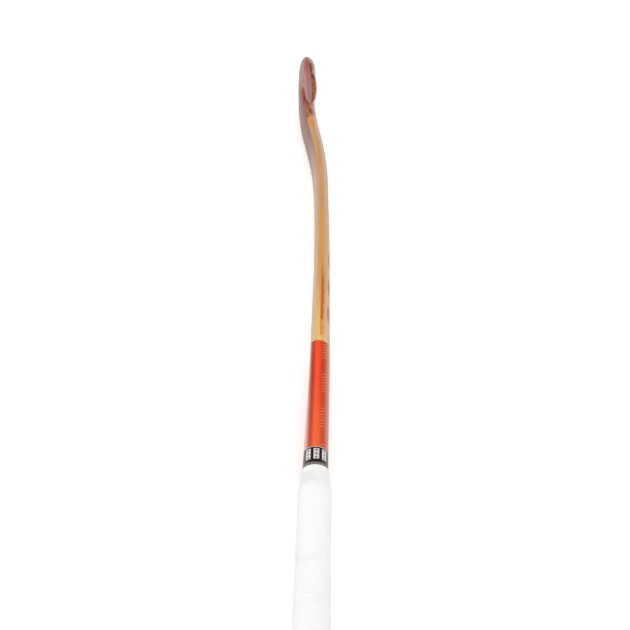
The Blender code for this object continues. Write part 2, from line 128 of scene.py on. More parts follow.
def spread(start: float, end: float, step: float) -> list[float]:
    """Even values from start up to end, left out itself, about a step apart."""
    count = max(1, round((end - start) / step))
    return [mix(start, end, i / count) for i in range(count)]


@dataclass(frozen=True)
class SectionStep:
    """A place on the cross-section: its side, face or back, and how far round it is."""

    side: int
    on_face: bool
    flat: float
    angle: float


@dataclass(frozen=True)
class StickForm:
    """The sizes and curves of the bare stick."""

    length: float = 0.927
    grip_length: float = 0.277
    band_end: float = 0.4445
    label_height: float = 0.0192
    ring_height: float = 0.0036
    clearance: float = 0.0003
    handle_width: float = 0.0300
    handle_thickness: float = 0.0262
    handle_corner_share: float = 0.84
    shaft_thickness: float = 0.0165
    shaft_thinning: float = 1.35
    head_width: float = 0.0450
    head_wide_from: float = 0.800
    head_thickness: float = 0.0204
    toe_thickness: float = 0.0139
    face_share: float = 0.42
    shaft_face_corner: float = 0.0075
    head_face_corner: float = 0.0143
    back_corner_share: float = 0.84
    hook_radius: float = 0.0325
    hook_ease: float = 0.22
    toe_straight: float = 0.016
    toe_round: float = 0.021
    toe_thins_from: float = 0.6
    bow_start: float = 0.693
    bends: tuple[Triple, ...] = (
        (0.530, 0.693, 0.029),
        (0.693, 0.830, 0.171),
        (0.830, 0.868, 0.085 - 0.171),
    )
    shaft_face_edge: float = math.radians(56.0)
    hook_face_edge: float = math.radians(82.0)
    back_edge: float = math.radians(50.0)
    skin: float = 0.0007
    core_inset: float = 0.0015
    hook_samples: int = 360

    @cached_property
    def hook_points(self) -> list[tuple[float, float]]:
        """Points (y, z) of the hook's centre line from its start.

        Returns:
            The points, as (y, z).
        """
        step = self.hook_run / self.hook_samples
        points = [(0.0, 0.0)]
        for i in range(self.hook_samples):
            heading = self.hook_heading((i + 0.5) / self.hook_samples)
            y, z = points[-1]
            points.append((y + step * math.cos(heading), z + step * math.sin(heading)))
        return points

    @cached_property
    def hook_run(self) -> float:
        """Length of the hook's centre line."""
        return math.pi * self.hook_radius

    @cached_property
    def hook_start(self) -> float:
        """Where the centre line begins to turn."""
        return self.length - self.head_width / 2 - self.hook_points[self.hook_samples // 2][0]

    @cached_property
    def hook_stop(self) -> float:
        """Where the centre line has turned round."""
        return self.hook_start + self.hook_run

    @cached_property
    def toe_centre(self) -> float:
        """Where the rounding of the toe begins."""
        return self.hook_stop + self.toe_straight

    def hook_heading(self, t: float) -> float:
        """Heading of the hook's centre line, a share t of the way round."""
        return math.pi * (t - self.hook_ease * math.sin(2.0 * math.pi * t) / (2.0 * math.pi))

    def bow(self, y: float) -> float:
        """Offset of the stick towards its face at y.

        Args:
            y: Distance from the butt.

        Returns:
            The offset along X, negative to the face.
        """
        offset = 0.0
        for start, end, slope in self.bends:
            offset += slope * (end - start) * eased_run(share_of(y, start, end))
        return -offset

    def centre_line(self, s: float) -> tuple[float, float, float]:
        """Place (y, z) and heading of the centre line.

        Args:
            s: Distance along the centre line from the butt.

        Returns:
            y, z and the heading in the plane of the blade.
        """
        if s <= self.hook_start:
            return s, 0.0, 0.0
        if s >= self.hook_stop:
            y, z = self.hook_points[-1]
            return self.hook_start + y - (s - self.hook_stop), z, math.pi
        t = (s - self.hook_start) / self.hook_run
        i = min(int(t * self.hook_samples), self.hook_samples - 1)
        f = t * self.hook_samples - i
        (y0, z0), (y1, z1) = self.hook_points[i], self.hook_points[i + 1]
        return self.hook_start + mix(y0, y1, f), mix(z0, z1, f), self.hook_heading(t)

    def place(self, s: float, u: float, x: float) -> Vector:
        """Point for a place along, across and through the stick.

        Args:
            s: Distance along the centre line.
            u: Distance across, positive to the toe side.
            x: Depth, negative to the face.

        Returns:
            The point in the model's frame.
        """
        y, z, heading = self.centre_line(s)
        y -= u * math.sin(heading)
        z += u * math.cos(heading)
        return Vector((x + self.bow(y), y, z))

    def half_width(self, s: float) -> float:
        """Half the width across the blade."""
        wide = ease(share_of(s, self.grip_length, self.head_wide_from))
        return mix(self.handle_width, self.head_width, wide) / 2

    def thickness(self, s: float) -> float:
        """Thickness from the face to the back.

        Args:
            s: Distance along the centre line.

        Returns:
            The thickness.
        """
        thick = min(max(share_of(s, self.bow_start, self.grip_length), 0.0), 1.0)
        shaft = mix(self.shaft_thickness, self.handle_thickness, thick ** self.shaft_thinning)
        head = mix(shaft, self.head_thickness, ease(share_of(s, self.bow_start, self.hook_start)))
        thins_from = mix(self.hook_start, self.hook_stop, self.toe_thins_from)
        return mix(head, self.toe_thickness, ease(share_of(s, thins_from, self.toe_centre)))

    def section(self, s: float, step: SectionStep, inset: float) -> tuple[float, float]:
        """A point of the cross-section.

        Args:
            s: Distance along the centre line.
            step: Where on the cross-section.
            inset: Depth under the surface.

        Returns:
            The distance across and the depth.
        """
        half = self.half_width(s)
        shaped = ease(share_of(s, self.grip_length, self.band_end))
        face_depth = self.thickness(s) * mix(0.5, self.face_share, shaped)
        round_handle = self.handle_corner_share * half
        if step.on_face:
            in_head = ease(share_of(s, self.bow_start, self.hook_start))
            corner = mix(self.shaft_face_corner, self.head_face_corner, in_head)
            corner = mix(round_handle, corner, shaped)
            depth = face_depth
        else:
            corner = mix(round_handle, self.back_corner_share * half, shaped)
            depth = self.thickness(s) - face_depth
        u = half - inset - (corner - inset) * (1.0 - math.sin(step.angle))
        if step.flat < 1.0:
            u = (half - corner) * step.flat
        x = (depth - inset) * math.cos(step.angle)
        return step.side * u, -x if step.on_face else x

    def paint_edge(self, s: float, on_face: bool) -> float:
        """Angle where the paint ends, on the face further round at the hook.

        Args:
            s: Distance along the centre line.
            on_face: True for the face, False for the back.

        Returns:
            The angle, 0 where the flat meets the corner.
        """
        if not on_face:
            return self.back_edge
        widens = ease(share_of(s, self.bends[1][1], self.hook_start))
        return mix(self.shaft_face_edge, self.hook_face_edge, widens)

    def gap_angle(self, s: float, on_face: bool, angle: float, gap: float) -> float:
        """Angle that leaves a gap along the surface of a corner.

        Args:
            s: Distance along the centre line.
            on_face: True for the face, False for the back.
            angle: Where on the corner the gap is.
            gap: How wide it is along the surface.

        Returns:
            The angle that it takes.
        """
        degree = math.radians(1.0)
        u0, x0 = self.section(s, SectionStep(1, on_face, 1.0, angle), 0.0)
        u1, x1 = self.section(s, SectionStep(1, on_face, 1.0, angle - degree), 0.0)
        return degree * gap / math.hypot(u1 - u0, x1 - x0)


def arc(start: float, end: float, count: int) -> list[float]:
    """Even angles or distances from start to end, both kept."""
    return [mix(start, end, i / count) for i in range(count + 1)]


def whole_loop(arc_steps: int, flats: Sequence[float]) -> list[SectionStep]:
    """Steps once round the cross-section, from the middle of the face.

    Args:
        arc_steps: Steps round each quarter's corner.
        flats: Shares of the flat before a corner.

    Returns:
        The steps, without the first one again at the end.
    """
    angles = arc(0.0, RIGHT_ANGLE, arc_steps)
    steps: list[SectionStep] = []
    for side, first_on_face in ((1, True), (-1, False)):
        for on_face, outward in ((first_on_face, True), (not first_on_face, False)):
            quarter = [SectionStep(side, on_face, flat, 0.0) for flat in flats]
            quarter += [SectionStep(side, on_face, 1.0, angle) for angle in angles]
            steps += quarter[:-1] if outward else list(reversed(quarter))[:-1]
    return steps


def mapped_grid(bm: bmesh.types.BMesh, columns: int, rows: int, place: Place) -> None:
    """Add a grid of quads and move each corner to its place.

    Args:
        bm: The mesh that gets the grid.
        columns: Quads one way.
        rows: Quads the other way.
        place: Gives the point for a column's and a row's number.
    """
    made = bmesh.ops.create_grid(bm, x_segments=columns, y_segments=rows, size=1.0)
    for vert in made["verts"]:
        column = round((vert.co.x + 1.0) / 2.0 * columns)
        row = round((vert.co.y + 1.0) / 2.0 * rows)
        vert.co = place(column, row)


def close_up(bm: bmesh.types.BMesh) -> None:
    """Merge doubles, fill open ends and turn the faces outwards.

    Args:
        bm: The mesh that is closed.
    """
    bmesh.ops.remove_doubles(bm, verts=bm.verts, dist=MERGE)
    bmesh.ops.dissolve_degenerate(bm, edges=bm.edges, dist=MERGE)
    open_edges = [edge for edge in bm.edges if edge.is_boundary]
    if open_edges:
        bmesh.ops.holes_fill(bm, edges=open_edges, sides=0)
    bmesh.ops.recalc_face_normals(bm, faces=bm.faces)


def new_mesh(bm: bmesh.types.BMesh, name: str) -> bpy.types.Mesh:
    """Turn a bmesh into a smooth mesh with sharp corners, and free it.

    Args:
        bm: The shape, which is freed.
        name: The mesh's name.

    Returns:
        The mesh.
    """
    mesh = bpy.data.meshes.new(name)
    bm.to_mesh(mesh)
    bm.free()
    mesh.shade_smooth()
    mesh.set_sharp_from_angle(angle=SHARP)
    return mesh


def lay_grain(mesh: bpy.types.Mesh, form: StickForm) -> None:
    """Give a mesh a UV map of distance along and across the bent stick.

    Args:
        mesh: The mesh, in the model's frame.
        form: The stick whose centre line is followed.
    """
    start, end = form.hook_start - GRAIN_BEFORE_HOOK, form.toe_centre + GRAIN_PAST_TOE
    stations = [mix(start, end, i / GRAIN_SAMPLES) for i in range(GRAIN_SAMPLES + 1)]
    line = [(s, *form.centre_line(s)) for s in stations]
    found: list[tuple[float, float]] = []
    for vert in mesh.vertices:
        _, y, z = vert.co
        if y < form.hook_start and z < form.head_width / 2 + GRAIN_STRAIGHT_ROOM:
            found.append((y, z))
            continue
        s, cy, cz, heading = min(line, key=lambda p: (p[1] - y) ** 2 + (p[2] - z) ** 2)
        dy, dz = y - cy, z - cz
        along = dy * math.cos(heading) + dz * math.sin(heading)
        found.append((s + along, dz * math.cos(heading) - dy * math.sin(heading)))
    layer = mesh.uv_layers.new(name="grain")
    for loop in mesh.loops:
        layer.data[loop.index].uv = found[loop.vertex_index]


def put(name: str, data: bpy.types.ID) -> Thing:
    """A new object in the scene.

    Args:
        name: The object's name.
        data: Its mesh, lamp or camera.

    Returns:
        The object.
    """
    thing = bpy.data.objects.new(name, data)
    bpy.context.scene.collection.objects.link(thing)
    return thing


def show(mesh: bpy.types.Mesh, material: bpy.types.Material, slot: str, *nodes: str) -> Thing:
    """Put a finished piece in the scene in the place of CAD nodes.

    Args:
        mesh: The piece's mesh, in the model's frame.
        material: Its finish.
        slot: The record's material slot; not used.
        nodes: The CAD nodes that it stands for.

    Returns:
        The new object.
    """
    mesh.materials.clear()
    mesh.materials.append(material)
    piece = put(mesh.name, mesh)
    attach(piece, BODY)
    if nodes:
        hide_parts(*nodes)
    LOG.info("%s: %d faces", piece.name, len(mesh.polygons))
    return piece


class Shader:
    """A material's node tree, built one node at a time."""

    def __init__(self, name: str) -> None:
        """Start a material with a Principled surface.

        Args:
            name: The material's name.
        """
        self.material = bpy.data.materials.new(name)
        self.material.use_nodes = True
        self.tree = self.material.node_tree
        self.surface = self.tree.nodes["Principled BSDF"]

    def feed(self, socket: Socket, value: object) -> None:
        """Link a socket to another, or set its value.

        Args:
            socket: The input.
            value: An output to link, or the value to set.
        """
        if isinstance(value, Socket):
            self.tree.links.new(value, socket)
        else:
            socket.default_value = value

    def add(self, kind: str, values: dict[str | int, object], **settings: object) -> bpy.types.Node:
        """Add a node.

        Args:
            kind: Blender's type name for the node.
            values: Values or links for its inputs.
            settings: The node's own settings.

        Returns:
            The node.
        """
        node = self.tree.nodes.new(kind)
        for key, value in settings.items():
            setattr(node, key, value)
        for key, value in values.items():
            self.feed(node.inputs[key], value)
        return node

    def place(self) -> Socket:
        """Object coordinates."""
        return self.add("ShaderNodeTexCoord", {}).outputs["Object"]

    def parts(self, vector: Socket) -> bpy.types.Node:
        """The three parts of a vector."""
        return self.add("ShaderNodeSeparateXYZ", {0: vector})

    def grain(self) -> tuple[Socket, Socket, Socket]:
        """Distance along, across and through the stick, from the piece's grain map."""
        flat = self.parts(self.add("ShaderNodeUVMap", {}, uv_map="grain").outputs["UV"])
        return flat.outputs["X"], flat.outputs["Y"], self.parts(self.place()).outputs["X"]

    def vector(self, x: object, y: object, z: object) -> Socket:
        """A vector of three values."""
        return self.add("ShaderNodeCombineXYZ", {0: x, 1: y, 2: z}).outputs[0]

    def math(self, operation: str, *values: object, clamp: bool = False) -> Socket:
        """One sum on numbers."""
        inputs = dict(enumerate(values))
        return self.add("ShaderNodeMath", inputs, operation=operation, use_clamp=clamp).outputs[0]

    def stretch(self, vector: Socket, scale: Triple, shift: Triple = (0, 0, 0)) -> Socket:
        """A vector scaled and then moved."""
        values = {"Vector": vector, "Scale": scale, "Location": shift}
        return self.add("ShaderNodeMapping", values).outputs[0]

    def noise(self, vector: Socket, scale: float, detail: float, rough: float = 0.5) -> Socket:
        """Even noise between 0 and 1."""
        values = {"Vector": vector, "Scale": scale, "Detail": detail, "Roughness": rough}
        return self.add("ShaderNodeTexNoise", values).outputs[0]

    def between(self, value: object, low: float, high: float, soft: bool = True) -> Socket:
        """A value's share of the way from low to high, kept from 0 to 1.

        Args:
            value: What is read.
            low: Where the share is 0.
            high: Where it is 1.
            soft: Whether both ends are eased.

        Returns:
            The share.
        """
        values = {"Value": value, "From Min": low, "From Max": high}
        kind = "SMOOTHSTEP" if soft else "LINEAR"
        return self.add("ShaderNodeMapRange", values, interpolation_type=kind).outputs[0]

    def window(self, value: object, low: float, high: float, soft: float) -> Socket:
        """1 where a value lies from low to high, with soft ends.

        Args:
            value: What is read.
            low: Where the window begins.
            high: Where it ends.
            soft: Half the width of each end.

        Returns:
            A value from 0 to 1.
        """
        rise = self.between(value, low - soft, low + soft)
        fall = self.between(value, high - soft, high + soft)
        return self.math("SUBTRACT", rise, fall, clamp=True)

    def ramp(self, value: object, stops: Sequence[tuple[float, Colour]]) -> Socket:
        """A colour that follows a value.

        Args:
            value: Where to read the ramp.
            stops: Each stop's place and colour.

        Returns:
            The colour.
        """
        node = self.add("ShaderNodeValToRGB", {0: value})
        elements = node.color_ramp.elements
        for index, (spot, colour) in enumerate(stops):
            element = elements[index] if index < 2 else elements.new(spot)
            element.position = spot
            element.color = (*colour, 1.0)
        return node.outputs["Color"]

    def blend(self, amount: object, a: object, b: object, how: str = "MIX") -> Socket:
        """Two colours mixed, or one laid on the other.

        Args:
            amount: How much of b is taken.
            a: The first colour.
            b: The second colour.
            how: Blender's name for the way they blend.

        Returns:
            The colour.
        """
        node = self.add("ShaderNodeMix", {0: amount}, data_type="RGBA", blend_type=how)
        for socket, value in ((node.inputs[6], a), (node.inputs[7], b)):
            self.feed(socket, (*value, 1.0) if isinstance(value, tuple) else value)
        return node.outputs[2]

    def wash(self, base: object, cover: object, strength: float, colour: object,
             how: str = "MIX") -> Socket:
        """A colour laid over a base as far as a cover says, up to a strength."""
        return self.blend(self.math("MULTIPLY", cover, strength), base, colour, how)

    def bump(self, height: Socket, depth: float) -> Socket:
        """A normal from a height between 0 and 1."""
        values = {"Height": height, "Distance": depth, "Strength": 1.0}
        return self.add("ShaderNodeBump", values).outputs[0]

    def finish(self, **inputs: object) -> bpy.types.Material:
        """Set the surface's inputs, named with _ for a space, and give the material.

        Args:
            inputs: Values or links for the surface's inputs.

        Returns:
            The material.
        """
        for key, value in inputs.items():
            value = (*value, 1.0) if isinstance(value, tuple) and len(value) == 3 else value
            self.feed(self.surface.inputs[key.replace("_", " ")], value)
        return self.material


@dataclass(frozen=True)
class Mulberry:
    """Lacquered mulberry, with its grain along the bent laminations and painted highlights on the head.
    """

    tint: float = 0.0
    start: float = 0.40
    end: float = 1.00
    stripe_start: float = 0.4525
    stripe_end: float = 0.620
    stripe_width: float = 0.0042
    mottle_from: float = 0.815
    mottle_to: float = 0.855
    stripe_near: Colour = screen(246, 150, 70)
    stripe_far: Colour = screen(208, 100, 24)

    def colours(self) -> list[tuple[float, Colour]]:
        """Stops of the wood's colour along the stick, straw at the sleeve to brown at the toe.

        Returns:
            Places from 0 to 1, each with its colour.
        """
        tones = (
            (0.45, screen(240, 202, 128)),
            (0.50, screen(234, 188, 120)),
            (0.56, screen(228, 174, 102)),
            (0.62, screen(226, 170, 98)),
            (0.70, screen(216, 163, 110)),
            (0.81, screen(214, 168, 122)),
            (0.840, screen(222, 152, 86)),
            (0.860, screen(196, 112, 50)),
            (0.900, screen(180, 90, 34)),
            (0.93, screen(170, 74, 22)),
            (0.98, screen(166, 70, 20)),
        )
        return [(share_of(s, self.start, self.end), colour) for s, colour in tones]

    def stripe(self, shader: Shader, along: Socket) -> Socket:
        """How strongly a plain tapering stripe covers the edge near the sleeve.

        Args:
            shader: The wood's node tree.
            along: Distance along the stick.

        Returns:
            A value from 0 to 1.
        """
        spot = shader.parts(shader.place())
        ragged = shader.noise(shader.stretch(shader.place(), (400.0, 260.0, 400.0)), 1.0, 3.0)
        width = shader.math("MULTIPLY", shader.math("MULTIPLY_ADD", ragged, 0.6, 0.7), self.stripe_width)
        inside = shader.math("SUBTRACT", width, spot.outputs["X"])
        stripe = shader.math("MULTIPLY", shader.between(inside, 0.0, 0.0004),
                             shader.between(spot.outputs["X"], 0.0, 0.0004))
        stripe = shader.math("MULTIPLY", stripe, shader.between(spot.outputs["Z"], 0.0, 0.002))
        fades = shader.between(along, self.stripe_start + 0.05, self.stripe_end, False)
        fades = shader.math("MULTIPLY_ADD", ragged, 0.8, shader.math("MULTIPLY", fades, -1.7))
        stripe = shader.math("MULTIPLY", stripe, shader.between(fades, -0.75, 0.10))
        ends = shader.window(along, self.stripe_start, self.stripe_end, 0.0003)
        return shader.math("MULTIPLY", stripe, ends)

    def material(self) -> bpy.types.Material:
        """Build the wood's nodes.

        Returns:
            The material.
        """
        shader = Shader(f"mulberry_{round(self.tint * 100)}")
        along, across, through = shader.grain()
        grain = shader.vector(along, across, through)
        broad = shader.noise(shader.stretch(grain, (6.0, 220.0, 220.0), (self.tint * 7, 0, 0)), 1.0, 3.0)
        fine = shader.noise(shader.stretch(grain, (18.0, 1700.0, 1700.0)), 1.0, 4.0, 0.6)
        pores = shader.noise(shader.stretch(grain, (120.0, 3200.0, 3200.0)), 1.0, 1.0)
        dark_pores = shader.between(pores, 0.60, 0.72)
        base = shader.ramp(shader.between(along, self.start, self.end, False), self.colours())
        tint = screen(255, 226, 170) if self.tint > 0 else screen(176, 110, 56)
        base = shader.blend(abs(self.tint), base, tint)
        patches = shader.noise(shader.stretch(grain, (75.0, 110.0, 110.0)), 1.0, 3.0, 0.6)
        on_head = shader.between(along, self.mottle_from, self.mottle_to)
        # Darker brown patches over the head.
        dark = shader.math("MULTIPLY", shader.between(patches, 0.47, 0.58), on_head)
        base = shader.wash(base, dark, 0.80, screen(104, 38, 14))
        # Painted highlight: light orange glints laid on the head where the patch noise is low, standing
        # in for glints on the lacquer.
        glow = shader.math("MULTIPLY", shader.between(patches, 0.43, 0.35), on_head)
        base = shader.wash(base, glow, 0.85, screen(246, 178, 104))
        tone = shader.blend(shader.between(along, self.stripe_start + 0.022, self.stripe_start + 0.026),
                            self.stripe_near, self.stripe_far)
        base = shader.wash(base, self.stripe(shader, along), 0.9, tone)
        value = shader.between(broad, 0.35, 0.8, False)
        base = shader.wash(base, value, 0.35, screen(196, 140, 84), "MULTIPLY")
        lines = shader.between(fine, 0.40, 0.75, False)
        base = shader.wash(base, lines, 0.35, screen(176, 120, 70), "MULTIPLY")
        base = shader.wash(base, dark_pores, 0.25, screen(140, 84, 42))
        return shader.finish(
            Base_Color=base, Roughness=shader.math("MULTIPLY_ADD", fine, 0.10, 0.30),
            Specular_IOR_Level=0.05, Coat_Weight=0.8, Coat_Roughness=0.09, Coat_IOR=1.5,
            Normal=shader.bump(shader.math("SUBTRACT", fine, dark_pores), 0.00005))


@dataclass(frozen=True)
class Spindle:
    """A plain stripe that tapers to both ends."""

    start: float
    end: float
    middle: float
    half: float
    soft: float

    def cover(self, shader: Shader, along: Socket, across: Socket) -> Socket:
        """How strongly the stripe covers a surface.

        Args:
            shader: The finish's node tree.
            along: Distance along the stripe's line.
            across: Distance across it.

        Returns:
            A value from 0 to 1.
        """
        share = shader.between(along, self.start, self.end, False)
        swell = shader.math("SINE", shader.math("MULTIPLY", share, math.pi))
        width = shader.math("MULTIPLY", swell, self.half)
        side = shader.math("ABSOLUTE", shader.math("SUBTRACT", across, self.middle))
        return shader.between(shader.math("SUBTRACT", width, side), 0.0, self.soft)


class Motif(Enum):
    """Which plain stripes a painted skin carries."""

    FACE = "face"
    BACK = "back"


@dataclass(frozen=True)
class Lacquer:
    """Painted glass-fibre skin under clear lacquer, with plain tapering stripes.

    The face has one stripe round its edge and a thin line along each side. The
    back has three dashes near the sleeve.
    """

    motif: Motif
    red: Colour = screen(160, 34, 32)
    pale_red: Colour = screen(182, 70, 66)
    orange: Colour = screen(222, 120, 56)
    lean: float = math.radians(45.7)
    stripe: Spindle = Spindle(0.630, 0.700, -0.0290, 0.0036, 0.0007)
    dashes: tuple[Spindle, ...] = tuple(
        Spindle(start, start + 0.034, 0.0118, 0.0024, 0.0006) for start in (0.472, 0.516, 0.560))
    line_near: float = 0.0076
    line_far: float = 0.0088
    line_start: float = 0.60
    line_end: float = 0.83

    def colours(self) -> list[tuple[float, Colour]]:
        """Stops of the paint's colour from the sleeve to the head.

        Returns:
            Places from 0 to 1, each with its colour.
        """
        head = screen(150, 120, 112) if self.motif is Motif.FACE else screen(196, 172, 156)
        return [(0.0, screen(216, 196, 172)), (0.35, screen(206, 184, 160)),
                (0.62, screen(196, 172, 152)), (0.80, head), (1.0, head)]

    def marks(self, shader: Shader, along: Socket, across: Socket) -> Socket:
        """How strongly the red marks cover the skin.

        The face's stripe goes round the edge of the hook, on a line that leans
        from the stick's length to the toe. The back's dashes lie near the sleeve.

        Args:
            shader: The paint's node tree.
            along: Distance along the stick.
            across: Distance across it.

        Returns:
            A value from 0 to 1.
        """
        if self.motif is Motif.FACE:
            spot = shader.parts(shader.place())
            rise = shader.math("MULTIPLY", spot.outputs["Z"], math.cos(self.lean))
            rise = shader.math("MULTIPLY_ADD", spot.outputs["Y"], math.sin(self.lean), rise)
            return self.stripe.cover(shader, rise, spot.outputs["X"])
        total = 0.0
        for dash in self.dashes:
            total = shader.math("ADD", total, dash.cover(shader, along, across))
        return shader.math("MULTIPLY", total, 0.7)

    def material(self) -> bpy.types.Material:
        """Build the paint's nodes.

        Returns:
            The material.
        """
        shader = Shader(f"{self.motif.value}_lacquer")
        along, across, through = shader.grain()
        spot = shader.vector(along, across, through)
        cloud = shader.noise(shader.stretch(spot, (40.0, 120.0, 120.0)), 1.0, 4.0, 0.55)
        weave = shader.noise(shader.place(), 700.0, 2.0)
        fibre = shader.noise(shader.stretch(spot, (20.0, 1200.0, 1200.0)), 1.0, 3.0)
        colour = shader.ramp(shader.between(along, 0.44, 0.90, False), self.colours())
        colour = shader.wash(colour, cloud, 0.25, screen(176, 140, 128), "MULTIPLY")
        shade = shader.blend(shader.between(cloud, 0.40, 0.62), self.red, self.pale_red)
        colour = shader.wash(colour, self.marks(shader, along, across), 0.9, shade)
        if self.motif is Motif.FACE:
            line = shader.window(shader.math("ABSOLUTE", across), self.line_near, self.line_far, 0.0002)
            run = shader.window(along, self.line_start, self.line_end, 0.01)
            line = shader.math("MULTIPLY", line, run)
            colour = shader.wash(colour, line, 0.8, self.orange)
        return shader.finish(
            Base_Color=colour, Roughness=shader.math("MULTIPLY_ADD", cloud, 0.12, 0.30),
            Specular_IOR_Level=0.0, Coat_Weight=0.40, Coat_Roughness=0.10, Coat_IOR=1.5,
            Normal=shader.bump(shader.math("ADD", weave, fibre), 0.00003))


@dataclass(frozen=True)
class PrintedFilm:
    """Red film with groups of plain cross hairlines; its colour round the handle carries painted shade,
    a painted highlight and painted reflections.
    """

    start: float
    end: float
    bright: Colour = screen(250, 84, 44)
    # Painted shade: the darker red down the face side.
    painted_shade_red: Colour = screen(162, 46, 24)
    # Colour of the painted highlight over the top of the film.
    light: Colour = screen(255, 128, 76)
    hairline: Colour = screen(255, 150, 104)
    half_turn: float = 1.6
    group_pitch: float = 0.047
    line_pitch: float = 0.0039
    line_middle: float = 0.62
    line_bend: float = 0.006

    def colours(self) -> list[tuple[float, Colour]]:
        """Stops of the film's colour round the handle, from side to side over the toe side, with painted
        light in them.

        Returns:
            Places from 0 to 1, each with its colour.
        """
        return [
            # Painted light round the tube: the pale stops on both flanks are painted reflection, the
            # dark stops down the face side are painted shade and the bright stops over the top are a
            # painted highlight.
            (0.0, self.bright),
            (0.12, screen(210, 104, 76)),
            (0.195, screen(232, 196, 180)),
            (0.265, screen(214, 138, 114)),
            (0.31, screen(188, 84, 58)),
            (0.34, self.painted_shade_red),
            (0.365, screen(156, 34, 14)),
            (0.393, screen(190, 50, 24)),
            (0.417, screen(226, 66, 34)),
            (0.44, self.bright),
            (0.49, self.bright),
            (0.54, screen(226, 72, 36)),
            (0.585, screen(196, 56, 22)),
            (0.63, screen(194, 62, 28)),
            (0.69, screen(194, 78, 48)),
            (0.78, screen(206, 116, 92)),
            (0.86, screen(206, 70, 40)),
            (1.0, self.bright),
        ]

    def lines(self, shader: Shader, along: Socket, round_it: Socket) -> Socket:
        """How strongly the plain hairlines cover the film.

        Args:
            shader: The film's node tree.
            along: Distance along the stick.
            round_it: Angle round the handle.

        Returns:
            A value from 0 to 1.
        """
        off_middle = shader.math("ABSOLUTE", shader.math("SUBTRACT", round_it, self.line_middle))
        bent = shader.math("MULTIPLY_ADD", off_middle, self.line_bend, along)
        group = shader.math("SINE", shader.math("MULTIPLY", bent, 2 * math.pi / self.group_pitch))
        group = shader.between(group, -0.35, -0.15)
        fine = shader.math("SINE", shader.math("MULTIPLY", bent, 2 * math.pi / self.line_pitch))
        fine = shader.between(fine, 0.30, 0.70)
        side = shader.window(round_it, 0.22, 0.98, 0.02)
        lines = shader.math("MULTIPLY", shader.math("MULTIPLY", group, fine), side)
        middle = shader.window(round_it, self.line_middle - 0.02, self.line_middle + 0.02, 0.01)
        tall = shader.math("MULTIPLY", middle, shader.math("SUBTRACT", 1.0, group))
        left = shader.math("MULTIPLY", shader.window(round_it, -1.20, -0.80, 0.02), fine)
        return shader.math("ADD", shader.math("ADD", lines, tall), left, clamp=True)

    def material(self) -> bpy.types.Material:
        """Build the print's nodes.

        Returns:
            The material.
        """
        shader = Shader("printed_film")
        spot = shader.parts(shader.place())
        round_it = shader.math("ARCTAN2", spot.outputs["X"], spot.outputs["Z"])
        along = spot.outputs["Y"]
        turned = shader.between(round_it, -self.half_turn, self.half_turn, False)
        colour = shader.ramp(turned, self.colours())
        # Painted highlight: the film is lightened over its top for the first few centimetres above the
        # label.
        painted_highlight_mask = shader.between(along, self.start + 0.01, self.start + 0.09, False)
        painted_highlight_mask = shader.math("SUBTRACT", 1.0, painted_highlight_mask)
        painted_highlight_mask = shader.math("MULTIPLY", painted_highlight_mask, shader.window(round_it, -0.46, 0.34, 0.25))
        colour = shader.wash(colour, painted_highlight_mask, 0.45, self.light)
        colour = shader.wash(colour, self.lines(shader, along, round_it), 0.40, self.hairline)
        grit = shader.noise(shader.place(), 2600.0, 2.0)
        return shader.finish(
            Base_Color=colour, Roughness=shader.math("MULTIPLY_ADD", grit, 0.10, 0.30),
            Specular_IOR_Level=0.0, Coat_Weight=1.0, Coat_Roughness=0.07, Coat_IOR=1.5,
            Normal=shader.bump(grit, 0.00002))


@dataclass(frozen=True)
class LabelFilm:
    """Black label with three blank white panels and a pale upper edge."""

    start: float
    end: float
    grip_margin: float = 0.0036
    head_margin: float = 0.0018
    edge: float = 0.0009
    panels: int = 3
    pitch: float = math.radians(33.5)
    half_panel: float = math.radians(10.7)
    marks: int = 3
    mark_width: float = math.radians(6.6)
    mark_length: float = 0.0018

    def material(self) -> bpy.types.Material:
        """Build the label's nodes.

        Returns:
            The material.
        """
        shader = Shader("label_film")
        spot = shader.parts(shader.place())
        along = spot.outputs["Y"]
        round_it = shader.math("ARCTAN2", spot.outputs["X"], spot.outputs["Z"])
        paper_at = 0.0
        diamonds = 0.0
        panel_start = self.start + self.grip_margin
        panel_run = self.end - self.head_margin - self.edge - panel_start
        for index in range(self.panels):
            middle = (index - (self.panels - 1) / 2) * self.pitch
            panel = shader.window(round_it, middle - self.half_panel, middle + self.half_panel, 0.012)
            paper_at = shader.math("ADD", paper_at, panel, clamp=True)
            aside = shader.math("ABSOLUTE", shader.math("SUBTRACT", round_it, middle))
            aside = shader.math("DIVIDE", aside, self.mark_width)
            for mark in range(self.marks):
                height = panel_start + panel_run * (mark + 0.5) / self.marks
                above = shader.math("ABSOLUTE", shader.math("SUBTRACT", along, height))
                reach = shader.math("MULTIPLY_ADD", above, 1.0 / self.mark_length, aside)
                diamonds = shader.math("ADD", diamonds, shader.between(reach, 1.0, 0.85), clamp=True)
        rows = shader.window(along, panel_start, panel_start + panel_run, 0.00012)
        paper_at = shader.math("MULTIPLY", paper_at, rows)
        grit = shader.noise(shader.place(), 1800.0, 3.0)
        paper = shader.blend(grit, screen(234, 227, 227), screen(216, 206, 206))
        paper = shader.wash(paper, diamonds, 0.8, screen(70, 60, 60))
        ink = shader.blend(grit, screen(28, 19, 20), screen(40, 30, 30))
        colour = shader.blend(paper_at, ink, paper)
        edge = shader.between(along, self.end - self.edge - 0.0001, self.end - self.edge + 0.0001)
        colour = shader.blend(edge, colour, screen(236, 188, 170))
        return shader.finish(
            Base_Color=colour, Roughness=shader.math("MULTIPLY_ADD", paper_at, 0.1, 0.32),
            Specular_IOR_Level=0.0, Coat_Weight=1.0, Coat_Roughness=0.07, Coat_IOR=1.6,
            Normal=shader.bump(grit, 0.00002))


